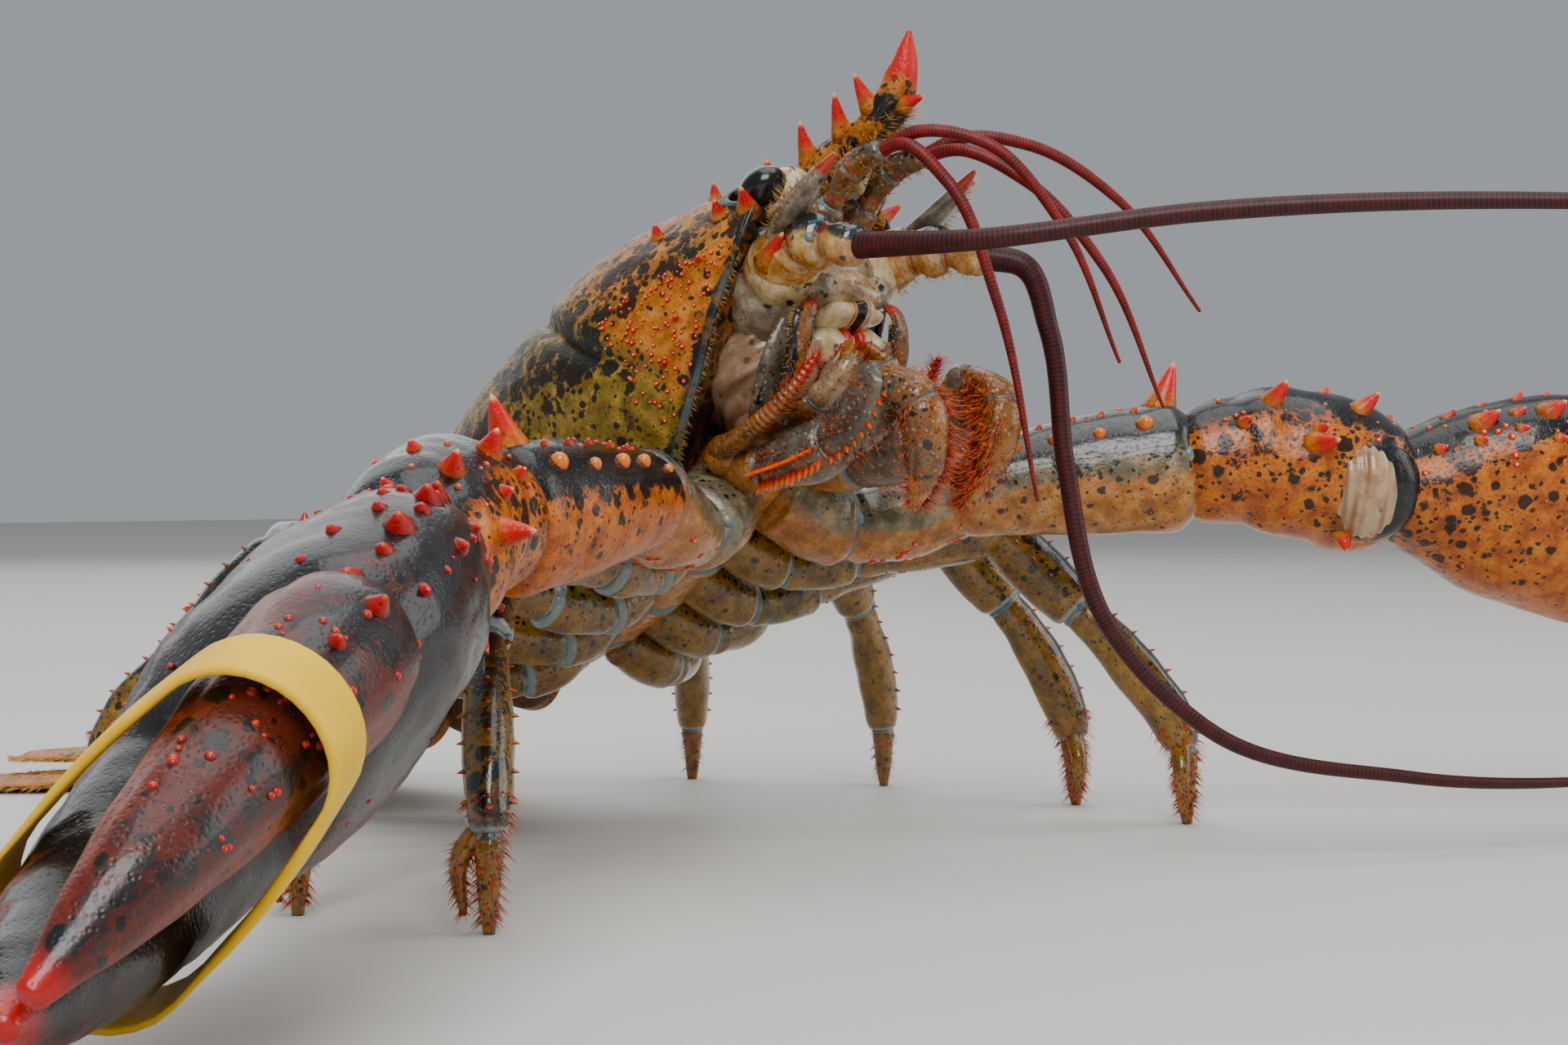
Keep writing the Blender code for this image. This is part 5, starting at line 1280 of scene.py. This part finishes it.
def makeHead():
    def folds(way):
        return 0.03 * np.sin(way[:, 2] * 15 + 1.5 * np.sin(way[:, 1] * 3)) + 0.012 * np.sin(way[:, 2] * 34 + 2)

    def lipMarks(way, point):
        middle = np.abs(way[:, 0])
        return {"tip": 0.95 * smoothStep(middle, 0.17, 0.06), "rim": 0.8 * hump(middle, 0.2, 0.07), "spot": 0.2}

    pieces = [
        faceLump("face", 0, 92.5, -2.5, 15.5, 13.0, 12.0, "face", 0.03, {"warm": 0.3, "spot": 0.4},
                 cols=80, rows=60),
        lump("chin", fromBody(0, 80, -9.5), (14.2, 13.5, 11.5), "flesh", cols=120, rows=90, relief=folds,
             marks=lambda way, point: {"rim": 0.35 * hump(way[:, 2], 0.1, 0.5)}),
        faceLump("epistome", 0, 100.2, -8.6, 9.4, 4.2, 4.4, "face", 0.1, {"warm": 0.6, "spot": 0.7},
                 cols=60, rows=40),
        lump("lip", fromBody(0, 99.0, -13.2), (7.6, 3.6, 2.1), "cream", cols=60, rows=30, marks=lipMarks,
             relief=lambda way: 0.1 * np.sin(way[:, 0] * 7)),
        faceLump("lipRidge", 0, 102.8, -5.6, 6.5, 2.0, 2.0, "face", 0.08, {"warm": 0.5, "dark": 0.3},
                 cols=32, rows=20),
    ]
    for mirror in (1, -1):
        pieces += [
            lump("seat", fromBody(mirror * 9.5, 99, -4), (7.1, 7.6, 6.6), "bulb", cols=60, rows=44,
                 relief=lambda way: 0.02 * np.sin(way[:, 0] * 9 + way[:, 2] * 5),
                 marks=lambda way, point: {
                     "dark": 0.4 * smoothStep(way[:, 2], -0.6, -0.9) + 0.8 * smoothStep(way[:, 2], 0.7, 0.9),
                     "spot": 0.15, "warm": 0.2 + 0.6 * smoothStep(way[:, 2], -0.3, 0.4)}),
            faceLump("browPlate", mirror * 5.4, 102.6, -1.5, 3.4, 2.6, 3.0, "mouth", 0.06,
                     {"warm": 0.2, "dark": 0.3}),
            faceLump("cheekFold", mirror * 6.4, 101.0, -9.2, 4.2, 3.2, 3.0, "face", 0.08,
                     {"warm": 0.3, "spot": 0.8}, cols=40, rows=28),
            faceLump("jaw", mirror * 4.2, 94.5, -16.4, 4.9, 4.0, 3.4, "cream", 0.06, cols=40, rows=28),
            faceLump("jawEdge", mirror * 1.7, 97.2, -16.4, 1.2, 1.6, 2.2, "tooth", 0.08, {"tip": 0.2}),
        ]
        blade, piece = facePlate("sideBlade", mirror, (
            (8.2, 100.6, -11.4), (10.6, 100.2, -13.0), (12.0, 97.4, -16.6), (11.6, 93.0, -20.4),
            (10.6, 88.0, -23.2)),
            [(0, 0.5, 0.5), (0.15, 1.7, 0.7), (0.5, 2.3, 0.8), (0.85, 2.0, 0.8), (1, 0.8, 0.6)], "mouth",
            {"warm": 0.9, "dark": 0.8, "spot": 0.3, "tip": 0.5})
        hairs = hairsOn(blade, 70, (0.05, 0.7), (-30, 30), 1.2, 0.06, 0.3)
        pieces += [piece, scatter("bladeHair", "hair", hairs, "golden")]
        _, piece = facePlate("sidePlate", mirror, (
            (13.2, 97.0, -12.6), (14.6, 93.0, -17.0), (14.6, 86.0, -21.5), (13.4, 79.0, -23.5)),
            [(0, 0.8, 0.6), (0.2, 2.2, 1.1), (0.7, 2.6, 1.2), (1, 1.4, 1.0)], "mouth",
            {"warm": 0.15, "dark": 0.3})
        pieces.append(piece)
    finished("face", pieces, "underside", "head")


def makeMaxilliped(mirror):
    side = sideName(mirror)
    inner = Limb(bodyRoute(mirror, [
        (8.5, 70, -23), (10.2, 79, -29), (10.8, 90, -33.5), (10.8, 100.5, -34.5), (10.8, 107.5, -32)]),
        [(0, 4.4, 4.0), (0.2, 4.8, 4.4), (0.28, 5.2, 4.0), (0.42, 6.4, 4.6), (0.55, 5.8, 4.8), (0.62, 4.6, 4.2),
         (0.85, 5.2, 4.8), (1, 4.2, 4.0)], bodyUp)
    outer = Limb(bodyRoute(mirror, [
        (10.8, 106, -32), (9.8, 110, -38.5), (8.0, 105, -46), (5.8, 97, -50)]),
        [(0, 3.4, 3.6), (0.3, 3.8, 3.8), (0.7, 3.0, 3.1), (1, 0.7, 0.8)], mirror * bodyLeft)
    palp = Limb(bodyRoute(mirror, [
        (14.2, 73, -22), (16.6, 83, -25), (16.4, 93, -25), (14.6, 101, -22.5)]),
        [(0, 2.2, 2.2), (0.4, 1.8, 1.7), (0.6, 1.5, 1.4), (1, 0.5, 0.5)], bodyUp)
    grey = {"dark": 0.5, "low": 0.2, "high": 0.9, "warm": 0.15, "spot": 0.25, "rim": 0.4}
    brown = {"dark": 0.5, "low": 0.0, "high": 0.7, "warm": 0.65, "fall": 0.4, "spot": 0.3, "rim": 0.4}
    warm = {"dark": 0.15, "low": -0.5, "high": 0.5, "warm": 0.95, "spot": 0.15, "rim": 0.6}
    middle = 0.0 if mirror < 0 else pi  # the side that faces the other mouth leg
    comb = []
    for lift in (-0.25, -0.75):
        for i in range(12):
            t = 0.285 + 0.315 * i / 11
            root, out = inner.surface(t, middle - mirror * lift, -0.2)
            comb.append((root, out + bodyAhead * 0.25, random.uniform(2.3, 3.5), random.uniform(0.48, 0.62)))
    for i in range(9):  # the outer edge and the last joints carry some too
        t = 0.64 + 0.33 * i / 8
        root, out = inner.surface(t, middle + mirror * 0.9, -0.2)
        comb.append((root, out + bodyAhead * 0.25, random.uniform(1.6, 2.6), random.uniform(0.42, 0.56)))
        place = outer.surface(0.05 + 0.85 * i / 8, -pi / 2 + 0.3 * (i % 3 - 1), -0.2)
        comb.append((*place, random.uniform(1.4, 2.2), random.uniform(0.4, 0.6)))
    pieces = [
        segment("basis", inner, 0, 0.25, "under", warm, rows=28),
        segment("ischium", inner, 0.27, 0.6, "mouth", grey, rows=56, cols=56),
        segment("merus", inner, 0.62, 1, "mouth", grey, rows=46, cols=46),
        membrane(inner, 0.26, 0.025), membrane(inner, 0.61, 0.025), *condyles(inner, 0.61, 0.9),
        segment("carpus", outer, 0, 0.3, "mouth", brown, rows=24, cols=30),
        segment("propodus", outer, 0.32, 0.72, "mouth", brown, rows=30, cols=30),
        segment("dactyl", outer, 0.74, 1, "under", warm, rows=24, cols=24),
        membrane(outer, 0.31, 0.03), membrane(outer, 0.73, 0.02),
        limbPiece("palp", palp, "mouth", rows=150, cols=20,
                  relief=lambda t, angle, point: 0.2 * np.sin(t * 170) * smoothStep(t, 0.35, 0.45),
                  marks=lambda t, local, angle, out, point: {
                      "warm": 0.9, "spot": 0.2, "dark": 0.1,
                      "tip": 0.2 * smoothStep(t, 0.3, 0.5) + 0.3 * smoothStep(t, 0.7, 0.95)}),
        faceLump("root", mirror * 11.2, 72.5, -22.5, 5.2, 3.8, 3.6, "under", 0.05, {"warm": 0.95, "spot": 0.3}),
        scatter("comb", "spine", comb, "tooth"),
    ]
    middleSpan = (165, 205) if mirror > 0 else (-25, 15)
    hairs = hairsOn(inner, 130, (0.25, 0.98), middleSpan, 2.8, 0.1, 0.4, 0.25)
    hairs += hairsOn(inner, 90, (0.64, 1.0), (235, 305), 2.4, 0.1, 0.4, 0.25)
    hairs += hairsOn(outer, 480, (0.02, 1.0), (225, 315), 3.8, 0.11, 0.6, 0.25)
    hairs += hairsOn(outer, 260, (0.3, 1.0), (0, 360), 2.2, 0.08, 0.8, 0.25)
    hairs += hairsOn(palp, 160, (0.6, 1.0), (0, 360), 2.2, 0.07, 0.9, 0.2)
    pieces.append(scatter("bristles", "hair", hairs, "bristle"))
    finished(f"mouthLeg_{side}", pieces, "underside", f"maxilliped_{side}")


def makeMouthparts():
    pieces = [lump("base", fromBody(0, 78, -18.5), (10, 9, 7), "flesh", cols=40, rows=28)]
    hairs = []
    for mirror in (1, -1):
        fold = Limb(bodyRoute(mirror, [
            (6, 79, -20.5), (6.5, 89, -24), (4.5, 98, -22), (2.6, 97.5, -18)]),
            [(0, 3.4, 2.8), (0.5, 3.2, 2.4), (1, 1.2, 1.0)], bodyUp)
        pieces += [
            segment("foldA", fold, 0, 0.46, "mouth", {"warm": 0.6, "dark": 0.1, "rim": 0.6}, rows=30),
            segment("foldB", fold, 0.48, 0.82, "face", {"warm": 0.5, "dark": 0.2, "rim": 0.6}, rows=26),
            segment("foldC", fold, 0.84, 1, "under", {"warm": 1, "dark": 0, "rim": 0.3}, rows=20),
            membrane(fold, 0.47, 0.03), membrane(fold, 0.83, 0.02),
        ]
        for name, points, girth, look in (
            ("veilOut", ((8.6, 97.0, -16.8), (9.8, 92.0, -20.8), (9.2, 84.0, -23.4)),
             [(0, 1.2, 0.9), (0.5, 2.8, 1.6), (1, 1.6, 1.2)], {"rim": 0.3}),
            ("veilIn", ((3.4, 98.2, -18.6), (4.6, 93.5, -21.8), (4.6, 86.5, -25.0)),
             [(0, 1.0, 0.8), (0.5, 2.4, 1.6), (1, 1.6, 1.2)], {"tip": 0.9}),
        ):
            veil, piece = facePlate(name, mirror, points, girth, "flesh", look)
            pieces.append(piece)
            hairs += hairsOn(veil, 60, (0.0, 0.4), (0, 360), 1.5, 0.07, -0.7, 0.25)
        leaf = Limb(bodyRoute(mirror, [(3, 84, -20), (3.4, 91, -23.5), (2.4, 97, -22)]),
                    [(0, 2.0, 1.0), (0.5, 2.6, 0.9), (1, 1.0, 0.5)], bodyUp)
        pieces.append(limbPiece("leaf", leaf, "flesh", rows=30, cols=24))
        hairs += hairsOn(fold, 150, (0.4, 1.0), (160, 380), 1.8, 0.07, 0.5, 0.25)
        hairs += hairsOn(leaf, 90, (0.3, 1.0), (0, 360), 1.5, 0.06, 0.7, 0.2)
    pieces.append(scatter("mouthHair", "hair", hairs, "bristle"))
    finished("mouthPlates", pieces, "underside", "mouthparts")


def makeSternum():
    floor = Limb([fromBody(0, f, -20) for f in (7, 26, 50, 76)],
                 [(0, 6, 4.5), (0.25, 9.5, 7.5), (0.7, 10.5, 8), (1, 8, 5.5)], bodyUp)
    look = {"dark": 0.2, "warm": 0.8, "spot": 0.3, "rim": 0.9}
    pieces = [segment("plate", floor, start, end, "under", look) for start, end in (
        (0, 0.17), (0.18, 0.36), (0.37, 0.55), (0.56, 0.74), (0.75, 1))]
    finished("chestFloor", pieces, "underside", "sternum")


tail = {
    "route": [(-5, 47), (8, 40), (25, 32), (43, 26), (61, 21.5), (79, 17), (97, 11.5)],
    "girth": [
        (0.0, 20.5, 15.0, 11.0), (0.3, 25.0, 15.5, 16.5), (0.6, 23.5, 14.0, 15.5),
        (0.85, 20.0, 11.0, 12.5), (1.0, 15.5, 7.0, 7.5)],
    "ends": [0.02, 0.2, 0.37, 0.53, 0.685, 0.83, 1.0],
}
tail["table"] = [(s, y, z) for s, (y, z) in zip(np.linspace(0, 1, len(tail["route"])), tail["route"])]


def tailFrame(t):  # the middle, the way back and the way up
    y, z = np.moveaxis(valuesAlong(tail["table"], t), -1, 0)
    before, after = (valuesAlong(tail["table"], np.clip(t + step, 0, 1)) for step in (-0.01, 0.01))
    ahead = after - before
    back = unit(np.stack([np.zeros_like(y), ahead[..., 0], ahead[..., 1]], -1))
    up = unit(np.cross([1.0, 0, 0], back))
    return fromFloor(0, y, z), back, up * np.sign(up[..., 2:])


def makeSomite(number):
    first, last = tail["ends"][number], tail["ends"][number + 1]

    def shape(u, v):
        local = np.clip((v - 0.06) / 0.88, 0, 1)
        t = np.maximum(first - 0.02 + (last - first + 0.02) * local, 0)
        swell = 0.93 + 0.09 * local**0.7
        pleuron = np.sin(pi * np.minimum(local * 0.72 + 0.12, 1)) * (0.2 if number == 0 else 1)
        centre, _, up = tailFrame(t)
        wide, tall, deep = np.moveaxis(valuesAlong(tail["girth"], t), -1, 0)
        wide, tall, reach = wide * swell, tall * swell, deep * (0.55 + 0.45 * pleuron)
        half = [(0, tall), (0.34, 0.94 * tall), (0.64, 0.75 * tall), (0.87, 0.42 * tall), (1.0, 0 * tall),
                (0.99, -0.5 * reach), (0.93, -reach), (0.86, -0.96 * reach), (0.8, -0.42 * deep),
                (0.45, -0.5 * deep), (0, -0.52 * deep)]
        share = np.abs(2 * u - 1) * 10
        sign = np.where(u < 0.5, -1.0, 1.0)
        i = np.clip(np.floor(share).astype(int), 0, 9)
        f = share - i
        xs = np.array([h[0] for h in half])
        hs = np.stack([np.broadcast_to(h[1], t.shape) for h in half], -1)
        rows = np.arange(len(t))

        def bend(before, here, there, after, flat):
            curve = curveBetween(f, here, there, (there - before) / 2, (after - here) / 2)
            return np.where(flat, here + (there - here) * f, curve)

        before, after = np.maximum(i - 1, 0), np.minimum(i + 2, 10)
        flat = i >= 5
        xBefore = np.where(i == 0, -xs[1], xs[before])
        hBefore = np.where(i == 0, hs[rows, 1], hs[rows, before])
        x = bend(xBefore, xs[i], xs[i + 1], xs[after], flat)
        h = bend(hBefore, hs[rows, i], hs[rows, i + 1], hs[rows, after], flat)
        lift = 0.35 * hump(local, 0.97, 0.04) - 0.4 * hump(local, 0.3, 0.05) * (share < 5)
        outer = share < 5.5
        scale = 1 + lift / wide * outer
        across = np.stack([sign * wide * x * scale * mm, 0 * x, 0 * x], -1)
        point = centre + across + up * (h * scale * mm)[:, None]
        shut = np.clip((0.06 - v) / 0.06, 0, 1) + np.clip((v - 0.94) / 0.06, 0, 1)
        middle = centre + up * (0.1 * tall * mm)[:, None]
        point = point + (middle - point) * (shut**1.3)[:, None]
        point = point + unit(point - centre) * (0.18 * ripple(point, 8, 71) * outer * (shut <= 0))[:, None] * mm
        # the top is darker and the rear edge has a dark band; the closed ends (shut) are painted near black as
        # painted shade where one ring tucks into the next
        dark = 0.9 * smoothStep(share, 4.4, 1.8) + 0.6 * hump(local, 1, 0.03) + shut
        return point, {
            "dark": dark, "spot": 0.6, "warm": 0.5 + 0.25 * smoothStep(share, 3, 6), "tip": 0,
            "rim": 0.5 * hump(local, 0.99, 0.02) + 0.6 * smoothStep(share, 6.2, 7)}

    pieces = [shapedGrid("somite", 50, 140, shape, "carapace")]
    if 0 < number < 5:
        middle = (first + last) / 2
        centre, back, up = tailFrame(middle)
        wide, _, deep = valuesAlong(tail["girth"], middle)
        length = 15 - 1.2 * number
        for mirror in (1, -1):
            root = centre + np.array([mirror * wide * 0.55 * mm, 0, 0]) - up * deep * 0.42 * mm
            way = unit(back * 0.85 - up * 0.42 + np.array([mirror * 0.1, 0, 0]))
            fin = Limb([root, root + way * length * 0.5 * mm, root + way * length * mm],
                       [(0, 1.6, 1.2), (0.35, 3.2, 0.7), (0.75, 3.0, 0.5), (1, 0.9, 0.4)], up)
            pieces.append(limbPiece("fin", fin, "cream", rows=30, cols=24))
            fringe = hairsOn(fin, 70, (0.4, 1), (-25, 25), 2.0)
            fringe += hairsOn(fin, 70, (0.4, 1), (155, 205), 2.0)
            pieces.append(scatter("finHair", "hair", fringe, "golden"))
    finished(f"tailRing_{number + 1}", pieces, "body_shell", f"tail_{number + 1}")


fan = {
    "telson": (
        [(0, 94, 12.2), (0, 110, 9.4), (0, 130, 7.4)],
        [(0, 10, 2.2), (0.25, 12.8, 1.9), (0.65, 11.4, 1.4), (0.9, 9.4, 1.1), (1, 5.5, 0.9)]),
    "inner": (
        [(7.5, 93, 8.6), (17, 107, 6.2), (25, 126, 4.9)],
        [(0, 4, 2.2), (0.3, 8, 1.6), (0.7, 10.5, 1.3), (0.92, 8.4, 1.0), (1, 4, 0.8)]),
    "outer": (
        [(10, 92, 5.2), (26, 103, 2.2), (43, 119, 0.9)],
        [(0, 4, 2.2), (0.3, 9, 1.7), (0.68, 12.5, 1.3), (0.92, 9.5, 1.0), (1, 5, 0.8)]),
    "edgeHairs": 620, "tipHairs": 320,
}


def makeBlade(name, kind, mirror, *nodes):
    route, girth = fan[kind]
    blade = Limb([fromFloor(mirror * x, y, z) for x, y, z in route], girth, [0, 0, 1])

    def relief(t, angle, point):
        top = (np.sin(angle) > 0) * smoothStep(t, 0.05, 0.2)
        keel = 0.5 * hump(np.cos(angle), 0.0, 0.09) * top * smoothStep(t, 0.8, 0.5)
        crease = -0.35 * hump(t, 0.8, 0.012) * top * (kind == "outer")
        return keel + crease + 0.12 * np.sin(np.cos(angle) * 26) * top * smoothStep(t, 0.3, 0.7)

    def marks(t, local, angle, out, point):
        return {"dark": 0.8 * smoothStep(t, 0.75, 0.2) * (np.sin(angle) > -0.1), "spot": 0.55,
                "warm": 0.6, "tip": 0.35 * smoothStep(t, 0.93, 1.0)}

    piece = limbPiece("blade", blade, "carapace", rows=90, cols=72, capShare=0.1, relief=relief, marks=marks)
    hairs = []
    for _ in range(fan["edgeHairs"]):
        edge = 0 if random.random() < 0.5 else pi
        t = 1 - 0.55 * random.random() ** 1.8
        root, out = blade.surface(t, edge + random.uniform(-0.1, 0.1), -0.2)
        hairs.append((root, out * (0.4 + 2 * (1 - t)) + blade.frame(t)[0], random.uniform(2.0, 3.0), 0.07))
    ahead, side, _ = blade.frame(1.0)
    wide, tall = valuesAlong(blade.girth, 1.0) * mm
    for _ in range(fan["tipHairs"]):
        turn = random.uniform(-1, 1)
        root = blade.centre(1.0) + side * turn * wide + ahead * (1 - turn**2) * tall * 0.3
        hairs.append((root, ahead + side * turn * 0.7, random.uniform(2.2, 3.2), 0.07))
    fringe = scatter("fringe", "hair", hairs, "golden")
    onFloor(finished(name, [piece, fringe], "body_shell", *nodes))


print("head and tail")
makeHead()
makeMouthparts()
makeSternum()
for mirror in (1, -1):
    makeEye(mirror)
    makeAntennule(mirror)
    makeAntenna(mirror)
    makeMaxilliped(mirror)
for number in range(6):
    makeSomite(number)
makeBlade("telsonBlade", "telson", 1, "telson")
for mirror in (1, -1):
    for kind in ("inner", "outer"):
        makeBlade(f"fanBlade_{sideName(mirror)}_{kind}", kind, mirror, f"fan_{sideName(mirror)}_{kind}")


camera = {
    "azimuth": -46, "elevation": 1, "distance": 0.42, "lens": 62, "sensor": 36, "nearest": 0.005,
    "target": (-0.0205, -0.0215, 0.0575),
}
studio = {
    "floorSize": 6, "floor": "d9d7d2", "floorCloud": "cfccc6",
    "air": (0.78, 0.82, 0.86, 1), "airStrength": 0.44,
    "aim": (0, -0.05, 0.06),  # what the lamps point at
    "lamps": [  # place, width in metres, watts
        ("keyLamp", (-0.9, -0.9, 1.1), 0.9, 25), ("fillLamp", (1.1, -1.0, 0.6), 1.1, 9),
        ("backLamp", (0.5, 1.1, 0.9), 1.4, 7), ("topLamp", (0.1, -0.1, 1.3), 1.1, 9),
    ],
}


def turnedTo(way):
    return Vector(way).to_track_quat("-Z", "Y").to_euler()


def makeStudio():
    p = studio
    bpy.ops.object.select_all(action="DESELECT")
    bpy.ops.mesh.primitive_grid_add(x_subdivisions=2, y_subdivisions=2, size=p["floorSize"], location=(0, 0, 0))
    floor = bpy.context.object
    floor.name = "studioFloor"
    g = Graph("floorPaint")
    tone = g.noise(g.node("ShaderNodeTexCoord", {}, {}, "Object"), 3.0)
    g.finish(g.blend(tone * 0.15, p["floor"], p["floorCloud"]), 0.6, coat=0.0)
    floor.data.materials.append(g.material)
    for name, spot, size, power in p["lamps"]:
        bpy.ops.object.light_add(type="AREA", location=spot)
        lamp = bpy.context.object
        lamp.name = name
        lamp.data.size, lamp.data.energy = size, power
        lamp.rotation_euler = turnedTo([aim - place for aim, place in zip(p["aim"], spot)])
    world = bpy.data.worlds.new("studioAir")
    bpy.context.scene.world = world
    world.use_nodes = True
    background = world.node_tree.nodes["Background"].inputs
    background[0].default_value, background[1].default_value = p["air"], p["airStrength"]
    bpy.ops.object.camera_add()
    view = bpy.context.object
    view.name = "photoCamera"
    p = camera
    azimuth, elevation = math.radians(p["azimuth"]), math.radians(p["elevation"])
    level = math.cos(elevation)
    way = Vector((math.sin(azimuth) * level, -math.cos(azimuth) * level, math.sin(elevation)))
    view.location = Vector(p["target"]) + way * p["distance"]
    view.rotation_euler = turnedTo(-way)
    view.data.lens, view.data.sensor_width, view.data.clip_start = p["lens"], p["sensor"], p["nearest"]
    bpy.context.scene.camera = view


print("studio")
makeStudio()
slotSkins = {
    "body_shell": "carapace", "claw_shell": "claw", "leg_shell": "leg", "underside": "under",
    "feeler": "antenna", "eye": "eye", "band": "band",
}
for part in frame["record"]["subparts"]:
    node = frame["nodes"][part["node"]]
    node.data.materials.clear()
    node.data.materials.append(skins[slotSkins[part["material_slot"]]])

print("done")
